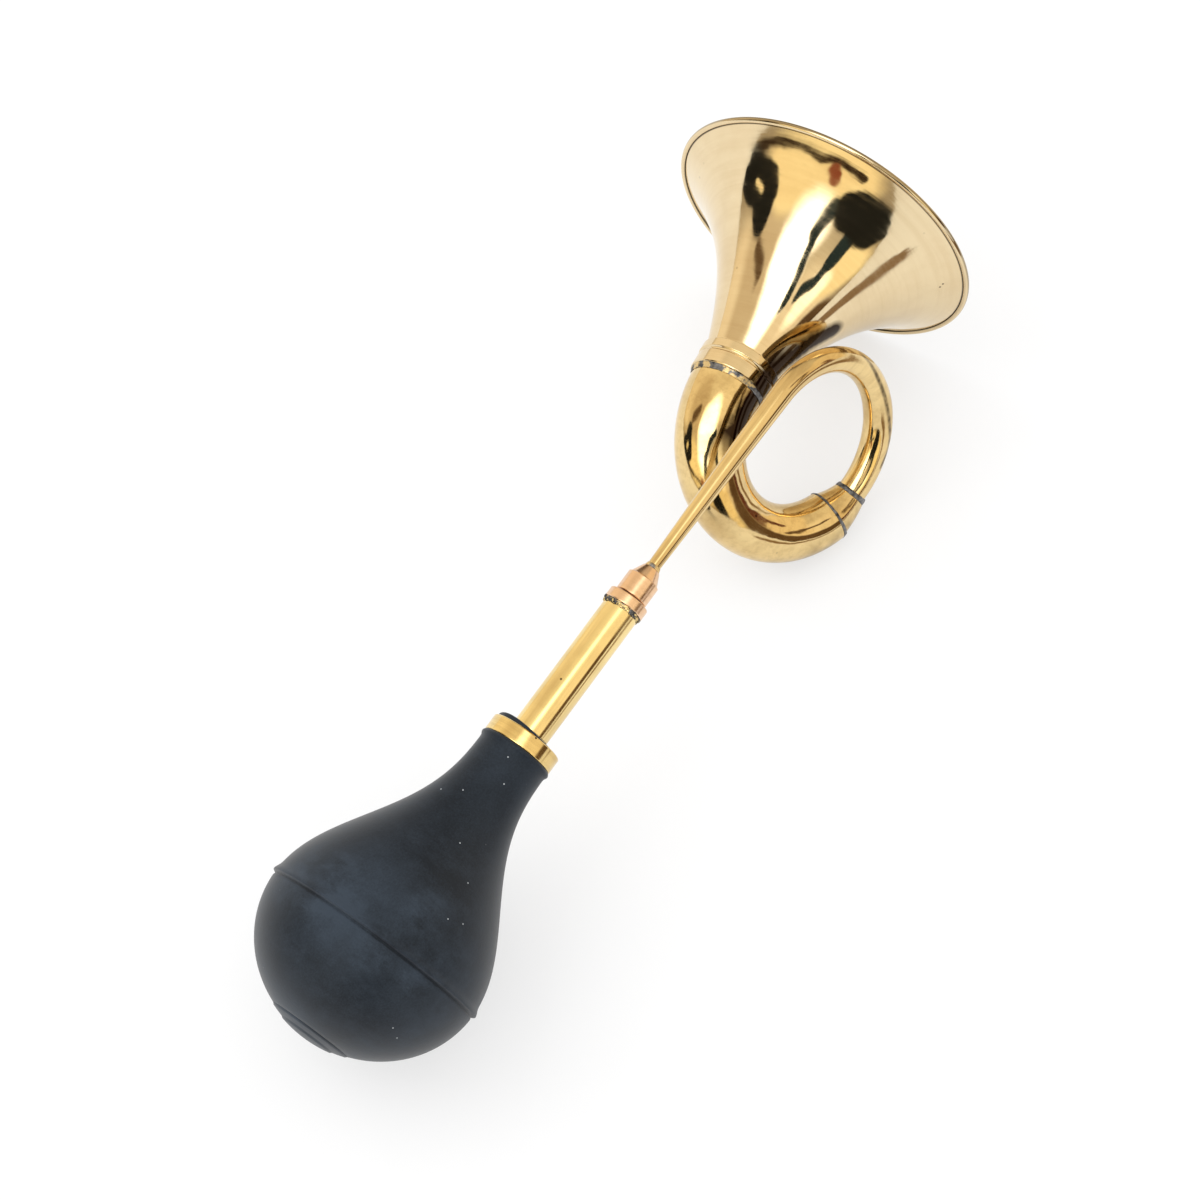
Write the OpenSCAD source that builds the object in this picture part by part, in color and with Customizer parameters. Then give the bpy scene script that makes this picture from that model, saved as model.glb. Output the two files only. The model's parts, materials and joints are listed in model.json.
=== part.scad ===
// Bulb horn: rubber bulb, reed barrel, one coil of conical tube and a flared bell, lying on a table.
// The horn's own frame has the barrel and stem along +X, with the bulb's seam at x = 0 and the coil
// in the plane of X and Y. The module lying() then sets the whole horn down on the table, z = 0.

/* [Bulb] */
// Radius of the rubber bulb at its widest, without the ridge
bulb_r = 42; // [34:0.5:52]
// How far the moulding ridge stands out at the seam
ridge_h = 1; // [0.4:0.1:2]
// Width of the moulding ridge
ridge_w = 2.4; // [1.2:0.2:5]
// Depth of the rounded end, seam to base, without its disc
base_depth = 39.2; // [30:0.2:50]
// Length of the shoulder, seam to collar
shoulder_len = 82.5; // [70:0.5:110]
// How quickly the shoulder draws in to the neck
shoulder_power = 1.4; // [1:0.1:2]
// Rubber wall of the bulb
bulb_wall = 3; // [2:0.1:4]
// Radius of the disc that closes the base
plug_r = 15.8; // [12:0.1:18]
// Radius of the raised middle of that disc
plug_boss_r = 10.7; // [5:0.1:11]
// Height of each step of that disc
plug_step = 0.6; // [0.3:0.1:1]
// Radius of the stopper under that disc
stopper_r = 8; // [5:0.1:10]
// How far the neck's bore stands back from the barrel's tail
neck_mouth = 4; // [2:0.2:8]
// Rubber lip standing out of the collar
lip_len = 1.8; // [0.8:0.1:4]

/* [Collar] */
// Outside radius of the brass collar
collar_r = 13.7; // [12:0.1:16]
// Length of the collar
collar_len = 6.3; // [4:0.1:10]
// Wall of the collar
collar_wall = 0.9; // [0.5:0.1:1.4]
// Chamfer on the collar's edges
collar_chamfer = 0.4; // [0.2:0.05:0.45]

/* [Barrel] */
// Outside radius of the exposed barrel
barrel_r = 7; // [6.4:0.1:8]
// Length of the exposed barrel, lip to flange
barrel_len = 55.4; // [40:0.2:80]
// Length of the tail inside the rubber neck
tail_len = 20; // [12:0.5:30]
// How much thinner the tail is, on the radius
tail_step = 0.3; // [0.2:0.05:0.35]
// Wall of the barrel
barrel_wall = 0.8; // [0.5:0.1:1]
// Radius of the flange ring
flange_r = 7.8; // [7.6:0.1:10]
// Length of the flange ring
flange_len = 4.1; // [3:0.1:7]
// Thickness of the seal washer
washer_t = 0.6; // [0.4:0.1:1.2]

/* [Coupling] */
// Radius of the coupling's body
coupling_r = 6.2; // [5.9:0.1:7.5]
// Length of the coupling's body
coupling_len = 7.9; // [5:0.1:12]
// Length of the coupling's cone
cone_len = 4.9; // [3:0.1:8]
// Radius of the coupling's thread
thread_r = 5.2; // [4.7:0.1:5.4]
// How far the stem enters the coupling
stem_depth = 5; // [3:0.2:7]
// Depth of the reed plug's seat in the thread's end
seat_depth = 5; // [3:0.1:7]
// How far the thread reaches past the flange into the barrel
thread_over = 2.5; // [1:0.1:4]
// Wall of the cone where the stem leaves it
cone_wall = 0.9; // [0.5:0.1:1.4]
// Radius of the air passage through coupling and plug
passage_r = 1.5; // [1:0.1:2]

/* [Reed] */
// Radius of the reed plug's stub
stub_r = 3.8; // [3.4:0.1:4.2]
// Radius of the reed plug's head
head_r = 4.6; // [4:0.1:4.9]
// Length of the reed plug's head
head_len = 3; // [2:0.1:5]
// How far the shallot enters its plug
shallot_seat = 4; // [2:0.1:6]
// Radius of the shallot
shallot_r = 2.6; // [2.2:0.1:3]
// Length of the shallot outside its plug
shallot_len = 30; // [24:0.5:36]
// Wall of the shallot
shallot_wall = 0.6; // [0.4:0.05:0.8]
// Height of the shallot's flat above its axis
flat_h = 1; // [0.6:0.1:1.4]
// Thickness of the reed tongue
reed_t = 0.3; // [0.2:0.05:0.5]
// Width of the reed tongue
reed_w = 4.2; // [3.6:0.1:4.6]
// Angle at which the reed stands open at rest
reed_open = 4; // [3.6:0.1:6]
// Length of the reed's root under the clamp
reed_root = 1.5; // [1:0.1:2]
// Length of the clamp
clamp_len = 6; // [5:0.2:8]
// Height of the clamp above the flat
clamp_h = 1.6; // [1.2:0.1:2]
// Radius of the clamp's screws
screw_r = 0.45; // [0.3:0.05:0.6]
// Radius of the screws' heads
screw_head_r = 0.8; // [0.7:0.05:0.9]
// Height of the screws' heads
screw_head_h = 0.5; // [0.3:0.05:0.8]
// How deep the screws bite into the shallot
screw_bite = 0.5; // [0.3:0.05:0.6]
// Radius of the vent from the shallot into its plug
vent_r = 1; // [0.7:0.05:1.1]

/* [Tube and coil] */
// Straight stem from the coupling's cone to the coil
stem_len = 80; // [60:1:110]
// Radius of the coil, on the tube's middle line
coil_r = 34; // [30:0.5:42]
// How far the coil sinks below the stem in a full turn
coil_drop = 36; // [30:0.5:46]
// How far the coil moves sideways in a full turn
coil_shift = 8; // [0:0.5:12]
// First part of the turn, over which the coil begins to sink
ease_turn = 60; // [20:5:120]
// Outside radius of the thin tube at the coupling
tube_r0 = 2.4; // [2.2:0.05:2.8]
// Outside radius of the thin tube where the coil begins
tube_r1 = 4.2; // [3.6:0.1:5]
// Outside radius of the thin tube from the coil's right side on
tube_r2 = 5.6; // [4.8:0.1:6.4]
// Wall of the thin tube
tube_wall = 0.6; // [0.4:0.05:0.8]
// Length of the solder joint before the sleeve
joint_len = 2; // [1:0.2:4]
// Where on the turn the thin tube has reached its full radius
full_turn = 115; // [80:5:140]
// Where on the turn the sleeve begins
sleeve_turn = 176; // [160:1:200]
// Length of the sleeve along the coil
sleeve_len = 11.5; // [6:0.5:14]
// Outside radius of the sleeve where the thin tube butts on it
sleeve_nose_r = 6.4; // [6.2:0.1:8]
// Outside radius of the sleeve where it meets the wide crook
sleeve_r = 9.8; // [8.6:0.1:10.6]
// Outside radius of the wide crook at the sleeve
crook_r0 = 10.2; // [9:0.1:11]
// Outside radius of the wide crook at the ferrule
crook_r1 = 14.3; // [12.5:0.1:14.4]
// Wall of the wide crook
crook_wall = 0.9; // [0.6:0.05:1.2]

/* [Bell] */
// Radius of the bell's mouth, over the hem
rim_r = 61; // [50:0.5:70]
// Length of the bell from the ferrule to the mouth
bell_len = 66.6; // [55:0.2:90]
// Outside radius of the bell's neck
neck_r = 14.6; // [13.6:0.1:15.4]
// Steady widening of the bell, radius for each length
bell_taper = 0.2; // [0.1:0.01:0.3]
// Distance in which the flare dies away
flare_len = 25; // [18:0.5:34]
// Wall of the bell
bell_wall = 0.8; // [0.5:0.05:1.2]
// Radius of the rolled hem
hem_r = 1.1; // [0.9:0.05:1.6]
// Radius of the wire in the hem
wire_r = 0.55; // [0.4:0.05:0.6]
// Length of the bell's tail inside the ferrule
bell_tail = 5; // [3:0.2:6]
// Length of the ferrule
ferrule_len = 11; // [9:0.2:14]
// Wall of the ferrule round the bell's tail
ferrule_wall = 0.9; // [0.6:0.05:1.4]
// Length of the ferrule's wide band
band_len = 6; // [4:0.1:7]
// Width of the groove between band and bead
groove_w = 0.8; // [0.4:0.1:1.2]
// How far the bead stands out over the band
bead_h = 0.3; // [0.1:0.05:0.8]
// Chamfer on the ferrule's edges
ferrule_edge = 0.4; // [0.2:0.05:0.5]

/* [Hidden] */
$fn = 96;

// Clearance of a turned fit, on the radius
fit = 0.05;
// Room between pieces that move past each other
room = 0.3;
// Chamfer on turned brass edges
turned_edge = 0.3;
// Thickness of a solder fillet at its thin edge
solder_edge = 0.2;
// Length of a solder fillet
solder_len = 1.6;
// Sides of the swept tubes
sides = 28;
// Turn between two rings of a swept tube, degrees
ring_step = 6;
// Rings on the straight stem
stem_rings = 8;
// Steps along a turned outline, and along the disc on the base
steps = 36;
plug_steps = 8;
// Overlap of a cut past the face that it opens
cut = 1;
// Where the first screw sits on the clamp's foot, as a share of it
screw_share = 0.28;
// How much thicker the rubber is at the neck than at the seam, as a share
neck_growth = 0.5;
// Small turn for the tube's heading and small tilt for the resting pose, degrees
small_turn = 0.05;
small_tilt = 0.02;
// Part of the turn that can touch the table, and the steps in which it is tried
low_turns = [90, 270];
low_step = 3;
// First guess of the horn's rise and roll on the table, degrees, and rounds to settle it
rest_guess = [8, 55];
rest_rounds = 8;

// Stations along the stem's axis
collar_x = shoulder_len;
collar_end = collar_x + collar_len;
lip_x = collar_end + lip_len;
flange_x = lip_x + barrel_len;
washer_x = flange_x + flange_len;
body_x = washer_x + washer_t;
cone_x = body_x + coupling_len;
stem_x = cone_x + cone_len;
coil_x = stem_x + stem_len;
tail_x = lip_x - tail_len;
neck_x = tail_x + neck_mouth;
thread_x = flange_x - thread_over;
plug_x = thread_x - head_len;
tip_x = plug_x - shallot_len;
hinge_x = plug_x - clamp_len;

// Radii that follow from the fits
tail_r = barrel_r - tail_step;
neck_bore = tail_r + fit;
bore_r = barrel_r - barrel_wall;
neck_band_r = collar_r - collar_wall - fit;
neck_out_r = collar_r - turned_edge;
stem_bore = tube_r0 + fit;
cone_r = stem_bore + cone_wall;
ferrule_r = neck_r + fit + ferrule_wall;

// Angle of the turn that a length along the coil takes
function turn_of(len) = len / coil_r * 180 / PI;
function unit(v) = v / norm(v);
// Share of the full turn's sinking that is done at angle a
function eased(a) = (a < ease_turn ? a * a / (2 * ease_turn) : a - ease_turn / 2) / (360 - ease_turn / 2);
// Middle line of the tube: straight for negative angles, then one turn of the coil
function route(a) = a < 0
    ? [coil_x + coil_r * a * PI / 180, 0, 0]
    : [coil_x + coil_r * sin(a), coil_r * (cos(a) - 1) - coil_shift * eased(a), -coil_drop * eased(a)];
function heading(a) = unit(route(a + small_turn) - route(a - small_turn));
function ring_at(a, r) =
    let (p = route(a), t = heading(a), n = unit(cross(t, [0, 0, 1])), b = cross(n, t))
    [for (i = [0 : sides - 1]) p + r * (cos(i * 360 / sides) * n + sin(i * 360 / sides) * b)];
function mix(a, b, t) = a + (b - a) * t;

stem_turn = -turn_of(stem_len + stem_depth);
sleeve_end = sleeve_turn + turn_of(sleeve_len);
bell_at = route(360);
bell_dir = heading(360);

// Outside radius of the thin tube, of the sleeve and of the wide crook along the route
function tube_r(a) = a < 0
    ? mix(tube_r1, tube_r0, a / -turn_of(stem_len))
    : mix(tube_r1, tube_r2, min(1, a / full_turn));
function sleeve_out(a) = mix(sleeve_nose_r, sleeve_r, (a - sleeve_turn) / (sleeve_end - sleeve_turn));
function crook_r(a) = mix(crook_r0, crook_r1, (a - sleeve_end) / (360 - sleeve_end));

// Reed: where the screws sit, room over the root, low vent, and the free tongue's length
foot_x = hinge_x + reed_root + room;
screw_at = [for (t = [screw_share, 1 - screw_share]) mix(foot_x, plug_x, t)];
root_room = fit + reed_t + room;
passage_low = shallot_r - shallot_wall - vent_r;
tongue_len = hinge_x - tip_x - 2 * shallot_wall;

// Outlines of the bulb and of the bell
function shoulder_r(x) =
    neck_out_r + (bulb_r - neck_out_r) * pow((1 + cos(180 * x / shoulder_len)) / 2, shoulder_power);
function base_r(x) = bulb_r * sqrt(max(0, 1 - pow(x / base_depth, 2)));
function base_in(x) = (bulb_r - bulb_wall) * sqrt(max(0, 1 - pow(x / (base_depth - bulb_wall), 2)));
function dome(r) = base_depth * sqrt(1 - pow(r / bulb_r, 2));
function shoulder_in(x) = max(neck_bore, shoulder_r(x) - bulb_wall * neck_thick(x));
// The wall thickens towards the neck
function neck_thick(x) = 1 + neck_growth * x / shoulder_len;
seat_x = dome(plug_r);
seat_in = (base_depth - bulb_wall) * sqrt(1 - pow((stopper_r + fit) / (bulb_r - bulb_wall), 2));
flare_r = rim_r - hem_r;
flare_tail = exp(-bell_len / flare_len);
flare_gain = (flare_r - neck_r - bell_taper * bell_len) / (1 - flare_tail);
function bell_r(d) = neck_r + bell_taper * (bell_len - d) + flare_gain * (exp(-d / flare_len) - flare_tail);
function bell_slope(d) = bell_taper + flare_gain / flare_len * exp(-d / flare_len);
function bell_in(d) = bell_r(d) - bell_wall * sqrt(1 + pow(bell_slope(d), 2));

// The horn settles on three points: the seam's ridge, the bell's rim and the outside of the loop
seam_r = bulb_r + ridge_h;
ridge_half = ridge_w / 2;
rim_at = bell_at + bell_dir * (ferrule_len + bell_len);
function laid(v, rise, roll) =
    let (y = v[1] * cos(roll) - v[2] * sin(roll), z = v[1] * sin(roll) + v[2] * cos(roll))
    [v[0] * cos(rise) - z * sin(rise), y, v[0] * sin(rise) + z * cos(rise)];
function seam_lift(rise) = seam_r * cos(rise) + ridge_half / 2 * sin(rise);
function outside_r(a) = a < sleeve_turn ? tube_r(a) : a < sleeve_end ? sleeve_out(a) : crook_r(a);
function rim_height(rise, roll) =
    let (t = laid(bell_dir, rise, roll)[2])
    seam_lift(rise) + laid(rim_at, rise, roll)[2] - flare_r * sqrt(1 - t * t) - hem_r;
function loop_height(rise, roll) = seam_lift(rise) + min([for (a = [low_turns[0] : low_step : low_turns[1]])
    let (t = laid(heading(a), rise, roll)[2])
    laid(route(a), rise, roll)[2] - outside_r(a) * sqrt(1 - t * t)]);
function heights(s) = [rim_height(s[0], s[1]), loop_height(s[0], s[1])];
// Newton's steps on [rise, roll] in degrees until both heights are nought
function settled(s, n) = n == 0 ? s :
    let (e = small_tilt, h = heights(s), u = (heights(s + [e, 0]) - h) / e, v = (heights(s + [0, e]) - h) / e,
         det = u[0] * v[1] - v[0] * u[1])
    settled(s - [v[1] * h[0] - v[0] * h[1], u[0] * h[1] - u[1] * h[0]] / det, n - 1);
rest = settled(rest_guess, rest_rounds);
rise = rest[0];
roll = rest[1];
lift = seam_lift(rise);

// Middle of the horn's outline on the table
reach_back = base_depth + 2 * plug_step;
rim_lies = laid(rim_at, rise, roll);
rim_faces = laid(bell_dir, rise, roll);
back_x = -norm([reach_back * cos(rise), bulb_r * sin(rise)]);
front_x = rim_lies[0] + flare_r * sqrt(1 - pow(rim_faces[0], 2)) + hem_r;
left_y = rim_lies[1] + flare_r * sqrt(1 - pow(rim_faces[1], 2)) + hem_r;
middle = [(back_x + front_x) / 2, (left_y - seam_r) / 2];
module lying() translate([-middle[0], -middle[1], lift]) rotate([roll, -rise, 0]) children();

// Tube swept along the route over a list of angles, with outside and inside radii for each
module swept(turns, outer, inner) {
    m = len(turns);
    k = sides;
    points = concat([for (j = [0 : m - 1]) each ring_at(turns[j], outer[j])],
                    [for (j = [0 : m - 1]) each ring_at(turns[j], inner[j])]);
    skin = [for (j = [0 : m - 2], i = [0 : k - 1])
        let (a = j * k + i, b = j * k + (i + 1) % k, c = b + k, d = a + k) each [[a, b, c], [a, c, d]]];
    bore = [for (f = skin) [f[0], f[2], f[1]] + [1, 1, 1] * m * k];
    start = [for (i = [0 : k - 1])
        let (o = i, p = (i + 1) % k, q = m * k + i, r = m * k + p) each [[o, q, r], [o, r, p]]];
    end = [for (f = start) [f[0], f[2], f[1]] + [1, 1, 1] * (m - 1) * k];
    polyhedron(points = points, faces = concat(skin, bore, start, end), convexity = 6);
}
// Angles from a to b in steps of about ring_step
function turns(a, b) = let (n = max(2, ceil((b - a) / ring_step))) [for (i = [0 : n]) a + (b - a) * i / n];

// Turned piece along the stem: an outline of [x, radius] points spun round the axis
module turned(outline) rotate([0, 90, 0]) rotate_extrude() polygon([for (p = outline) [p[1], p[0]]]);
// Rod or drilled hole along the stem
module rod(x0, x1, r) translate([x0, 0, 0]) rotate([0, 90, 0]) cylinder(h = x1 - x0, r = r);
// Places a piece that is turned round +Z on the bell's axis, from the end of the coil
module on_bell() translate(bell_at)
    rotate([0, acos(bell_dir[2]), atan2(bell_dir[1], bell_dir[0])]) children();

// Ring round the bell's mouth
module rim_ring(r) translate([0, 0, bell_len]) rotate_extrude() translate([flare_r, 0]) circle(r);

// Thin flared sheet, its edge rolled into a hem round the wire
module bell() color("goldenrod") lying() on_bell() translate([0, 0, ferrule_len]) difference() {
    union() {
        rotate_extrude() polygon(concat(
            [for (i = [0 : steps]) let (d = bell_len * i / steps) [bell_r(d), bell_len - d]],
            [[neck_r, -bell_tail], [neck_r - bell_wall, -bell_tail]],
            [for (i = [steps : -1 : 0]) let (d = bell_len * i / steps) [bell_in(d), bell_len - d]]));
        rim_ring(hem_r);
    }
    rim_ring(wire_r + fit);
}

module rim_wire() color("dimgray") lying() on_bell() translate([0, 0, ferrule_len]) rim_ring(wire_r);

// Ring at the bell's neck: a wide band, a groove and a bead, bored in two steps
module neck_ferrule() color("goldenrod") lying() on_bell() rotate_extrude() polygon([
    [crook_r1 - crook_wall, 0], [ferrule_r - ferrule_edge, 0], [ferrule_r, ferrule_edge],
    [ferrule_r, band_len - ferrule_edge], [ferrule_r - ferrule_edge, band_len],
    [ferrule_r - ferrule_edge, band_len + groove_w], [ferrule_r + bead_h, band_len + groove_w + ferrule_edge],
    [ferrule_r + bead_h, ferrule_len - ferrule_edge], [ferrule_r - ferrule_edge, ferrule_len],
    [neck_r + fit, ferrule_len], [neck_r + fit, ferrule_len - bell_tail],
    [crook_r1 - crook_wall, ferrule_len - bell_tail]]);

// Grey fillet on the crook under the ferrule
module neck_solder() color("gray") lying() {
    list = turns(360 - turn_of(solder_len), 360);
    n = len(list) - 1;
    swept(list, [for (i = [0 : n]) mix(crook_r(list[i]) + solder_edge, ferrule_r - ferrule_edge, i / n)],
          [for (a = list) crook_r(a) + fit]);
}

module large_crook() color("goldenrod") lying() {
    list = turns(sleeve_end, 360);
    swept(list, [for (a = list) crook_r(a)], [for (a = list) crook_r(a) - crook_wall]);
}

// Reducing sleeve: the thin tube butts on one end, the wide crook on the other
module crook_sleeve() color("goldenrod") lying() {
    list = turns(sleeve_turn, sleeve_end);
    swept(list, [for (a = list) sleeve_out(a)], [for (a = list) tube_r2 - tube_wall]);
}

// Joint on the thin tube before the sleeve, and a thin line between sleeve and crook
module sleeve_solder() color("gray") lying() {
    list = turns(sleeve_turn - turn_of(joint_len), sleeve_turn);
    n = len(list) - 1;
    swept(list, [for (i = [0 : n]) mix(tube_r2, sleeve_nose_r, sqrt(i / n)) + solder_edge * (1 - i / n)],
          [for (a = list) tube_r(a) + fit]);
    line = turns(sleeve_end - turn_of(solder_len), sleeve_end);
    swept(line, [for (a = line) sleeve_out(a) + solder_edge], [for (a = line) sleeve_out(a) + fit]);
}

module lead_tube() color("goldenrod") lying() {
    list = concat([for (i = [0 : stem_rings]) stem_turn * (1 - i / stem_rings)],
                  [for (a = turns(0, sleeve_turn)) if (a > 0) a]);
    swept(list, [for (a = list) tube_r(a)], [for (a = list) tube_r(a) - tube_wall]);
}

module stem_solder() color("gray") lying() turned([
    [stem_x, stem_bore], [stem_x, cone_r - solder_edge], [stem_x + solder_len, stem_bore + solder_edge],
    [stem_x + solder_len, stem_bore]]);

// Nipple: thread, body and cone, bored for the stem and for the reed plug
module coupling() color("peru") lying() difference() {
    turned([[thread_x, 0], [thread_x, thread_r - turned_edge], [thread_x + turned_edge, thread_r],
            [body_x, thread_r], [body_x, coupling_r - turned_edge], [body_x + turned_edge, coupling_r],
            [cone_x, coupling_r], [cone_x + turned_edge, coupling_r - 2 * turned_edge], [stem_x, cone_r],
            [stem_x, 0]]);
    rod(stem_x - stem_depth, stem_x + cut, stem_bore);
    rod(thread_x - cut, stem_x, passage_r);
    rod(thread_x - cut, thread_x + seat_depth, stub_r + fit);
}

module seal_washer() color("black") lying() difference() {
    rod(washer_x, body_x, coupling_r - turned_edge);
    rod(washer_x - cut, body_x + cut, thread_r + fit);
}

// Block with a stub in the coupling and a head that takes the shallot
module reed_plug() color("darkgoldenrod") lying() difference() {
    union() {
        rod(plug_x, thread_x, head_r);
        rod(thread_x, thread_x + seat_depth - room, stub_r);
    }
    rod(plug_x - cut, plug_x + shallot_seat, shallot_r + fit);
    rod(plug_x, thread_x + seat_depth, passage_r);
}

// Half tube with a flat, closed at its tip
module shallot() color("darkgoldenrod") lying() difference() {
    rod(tip_x, plug_x + shallot_seat, shallot_r);
    rod(tip_x + shallot_wall, hinge_x - shallot_wall, shallot_r - shallot_wall);
    translate([0, 0, -passage_low]) rod(hinge_x - cut, plug_x + shallot_seat + cut, vent_r);
    translate([tip_x - cut, -shallot_r, flat_h]) cube([plug_x - tip_x + cut, 2 * shallot_r, shallot_r]);
    for (x = screw_at) translate([x, 0, flat_h - screw_bite]) cylinder(h = shallot_r, r = screw_r + fit);
}

// Reed: a short root on the flat, then a tongue that stands open
module reed_tongue() color("gold") lying() translate([hinge_x, reed_w / 2, flat_h + fit]) rotate([90, 0, 0])
    linear_extrude(reed_w) union() {
        square([reed_root, reed_t]);
        rotate(-reed_open) translate([-tongue_len, 0]) square([tongue_len, reed_t]);
        polygon([[0, 0], [0, reed_t], [-reed_t * sin(reed_open), reed_t * cos(reed_open)]]);
    }

// Saddle: a foot on the flat and a lip over the reed's root
module reed_clamp() color("darkgoldenrod") lying() difference() {
    translate([hinge_x + fit, -reed_w / 2, flat_h]) cube([clamp_len - 2 * fit, reed_w, clamp_h]);
    translate([hinge_x - cut, -reed_w, flat_h - cut])
        cube([cut + reed_root + room, 2 * reed_w, cut + root_room]);
    for (x = screw_at) translate([x, 0, flat_h - cut]) cylinder(h = clamp_h + 2 * cut, r = screw_r + fit);
}

module reed_screws() color("silver") lying() for (x = screw_at) translate([x, 0, flat_h]) {
    translate([0, 0, -screw_bite + fit]) cylinder(h = clamp_h + screw_bite - fit, r = screw_r);
    translate([0, 0, clamp_h]) cylinder(h = screw_head_h, r = screw_head_r);
}

// Flange with the female thread, on the barrel's end
module barrel_ring() color("peru") lying() difference() {
    turned([[flange_x, 0], [flange_x, flange_r - turned_edge], [flange_x + turned_edge, flange_r],
            [washer_x - turned_edge, flange_r], [washer_x, flange_r - turned_edge], [washer_x, 0]]);
    rod(flange_x - cut, washer_x + cut, thread_r + fit);
}

module barrel_solder() color("gray") lying() turned([
    [flange_x - solder_len, tail_r + fit], [flange_x - solder_len, barrel_r + solder_edge],
    [flange_x, flange_r - turned_edge], [flange_x, tail_r + fit]]);

// Plain tube with a thinner tail for the rubber neck and a thinner end under the flange's solder
module barrel() color("goldenrod") lying() difference() {
    union() {
        rod(tail_x, flange_x, tail_r);
        rod(lip_x, flange_x - solder_len, barrel_r);
    }
    rod(tail_x - cut, flange_x + cut, bore_r);
}

module bulb_collar() color("darkgoldenrod") lying() difference() {
    turned([[collar_x, 0], [collar_x, collar_r - collar_chamfer], [collar_x + collar_chamfer, collar_r],
            [collar_end - collar_chamfer, collar_r], [collar_end, collar_r - collar_chamfer],
            [collar_end, 0]]);
    rod(collar_x - cut, collar_end + cut, neck_band_r + fit);
}

// Upper half of the rubber bulb, drawn in to the neck and ending in a lip
module bulb_shoulder() color("darkslategray") lying() turned(concat(
    [for (i = [0 : steps]) let (x = mix(ridge_half, collar_x, i / steps)) [x, shoulder_r(x)]],
    [[collar_x, neck_band_r], [collar_end, neck_band_r], [lip_x, neck_band_r - lip_len / 2]],
    [[lip_x, neck_bore], [neck_x, neck_bore]],
    [for (i = [steps : -1 : 0]) let (x = mix(ridge_half, neck_x, i / steps)) [x, shoulder_in(x)]]));

// Lower half of the rubber bulb with the moulding ridge, cut flat under the disc
module bulb_base() color("darkslategray") lying() turned(concat(
    [for (i = [0 : steps]) let (x = mix(-seat_x, -ridge_half, i / steps)) [x, base_r(x)]],
    [[-ridge_half / 2, seam_r], [ridge_half / 2, seam_r]],
    [[ridge_half, bulb_r], [ridge_half, bulb_r - bulb_wall]],
    [for (i = [steps : -1 : 0]) let (x = mix(-seat_in, 0, i / steps)) [x, base_in(x)]],
    [[-seat_in, stopper_r + fit], [-seat_x, stopper_r + fit]]));

// Stepped disc that closes the base, with a stopper in the hole
module bulb_plug() color("darkslategray") lying() turned(concat(
    [[-seat_in, 0], [-seat_in, stopper_r], [-seat_x, stopper_r], [-seat_x, plug_r]],
    [for (i = [0 : plug_steps])
        let (r = mix(plug_r, plug_boss_r, i / plug_steps)) [-dome(r) - plug_step, r]],
    [for (i = [0 : plug_steps])
        let (r = mix(plug_boss_r, 0, i / plug_steps)) [-dome(r) - 2 * plug_step, r]]));

bell();
rim_wire();
neck_ferrule();
neck_solder();
large_crook();
crook_sleeve();
sleeve_solder();
lead_tube();
stem_solder();
coupling();
seal_washer();
reed_plug();
shallot();
reed_tongue();
reed_clamp();
reed_screws();
barrel_ring();
barrel_solder();
barrel();
bulb_collar();
bulb_shoulder();
bulb_base();
bulb_plug();
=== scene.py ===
# %% [markdown]
# # A brass bulb horn
# The horn is a rubber bulb, a short barrel that holds the reed, one coil of conical brass tube and a flared
# bell. The imported model brings every piece in its true place, so each step below makes a finer skin for one
# of those pieces, or gives the imported piece a better finish, and lets it ride on the same moving body where
# it has just one.

# %% Load the imported horn
import json
import math

import bmesh
import bpy
from mathutils import Matrix, Vector, noise


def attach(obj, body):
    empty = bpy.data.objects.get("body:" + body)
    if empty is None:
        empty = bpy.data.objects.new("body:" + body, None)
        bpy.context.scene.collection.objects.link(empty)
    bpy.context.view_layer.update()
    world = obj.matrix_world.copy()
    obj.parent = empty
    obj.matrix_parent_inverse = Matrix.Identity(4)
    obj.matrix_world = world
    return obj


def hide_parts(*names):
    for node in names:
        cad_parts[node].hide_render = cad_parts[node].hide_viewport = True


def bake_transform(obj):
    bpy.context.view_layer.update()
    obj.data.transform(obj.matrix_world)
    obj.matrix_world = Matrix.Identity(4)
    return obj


MM = 0.001
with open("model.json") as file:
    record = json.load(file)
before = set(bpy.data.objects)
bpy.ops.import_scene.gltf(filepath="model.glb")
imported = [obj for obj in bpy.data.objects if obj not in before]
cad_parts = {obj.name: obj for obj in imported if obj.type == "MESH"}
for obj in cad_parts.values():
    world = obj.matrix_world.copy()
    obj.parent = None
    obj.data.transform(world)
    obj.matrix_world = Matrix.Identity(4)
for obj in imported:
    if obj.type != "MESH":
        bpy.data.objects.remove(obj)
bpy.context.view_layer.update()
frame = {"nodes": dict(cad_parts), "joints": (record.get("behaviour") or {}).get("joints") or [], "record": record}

# %% [markdown]
# ## The horn's own axes
# The horn lies tilted and rolled on the table, which makes every coordinate awkward. It is far easier to
# model it straight, with the stem along X and the coil in the plane of X and Y, and to turn each finished
# mesh into place. The record already knows the tilt: the bulb slides along the stem, the reed turns about
# the sideways axis, and the clamp's place is the middle of the bare barrel.

# %% Work out the horn's axes from the record
joints = {joint["name"]: joint for joint in frame["joints"]}
clamp = frame["record"]["mounts"][0]
stem_way = Vector(joints["bulb_squeeze"]["axis"]).normalized()
side_way = -Vector(joints["reed_beat"]["axis"]).normalized()
up_way = stem_way.cross(side_way)

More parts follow.
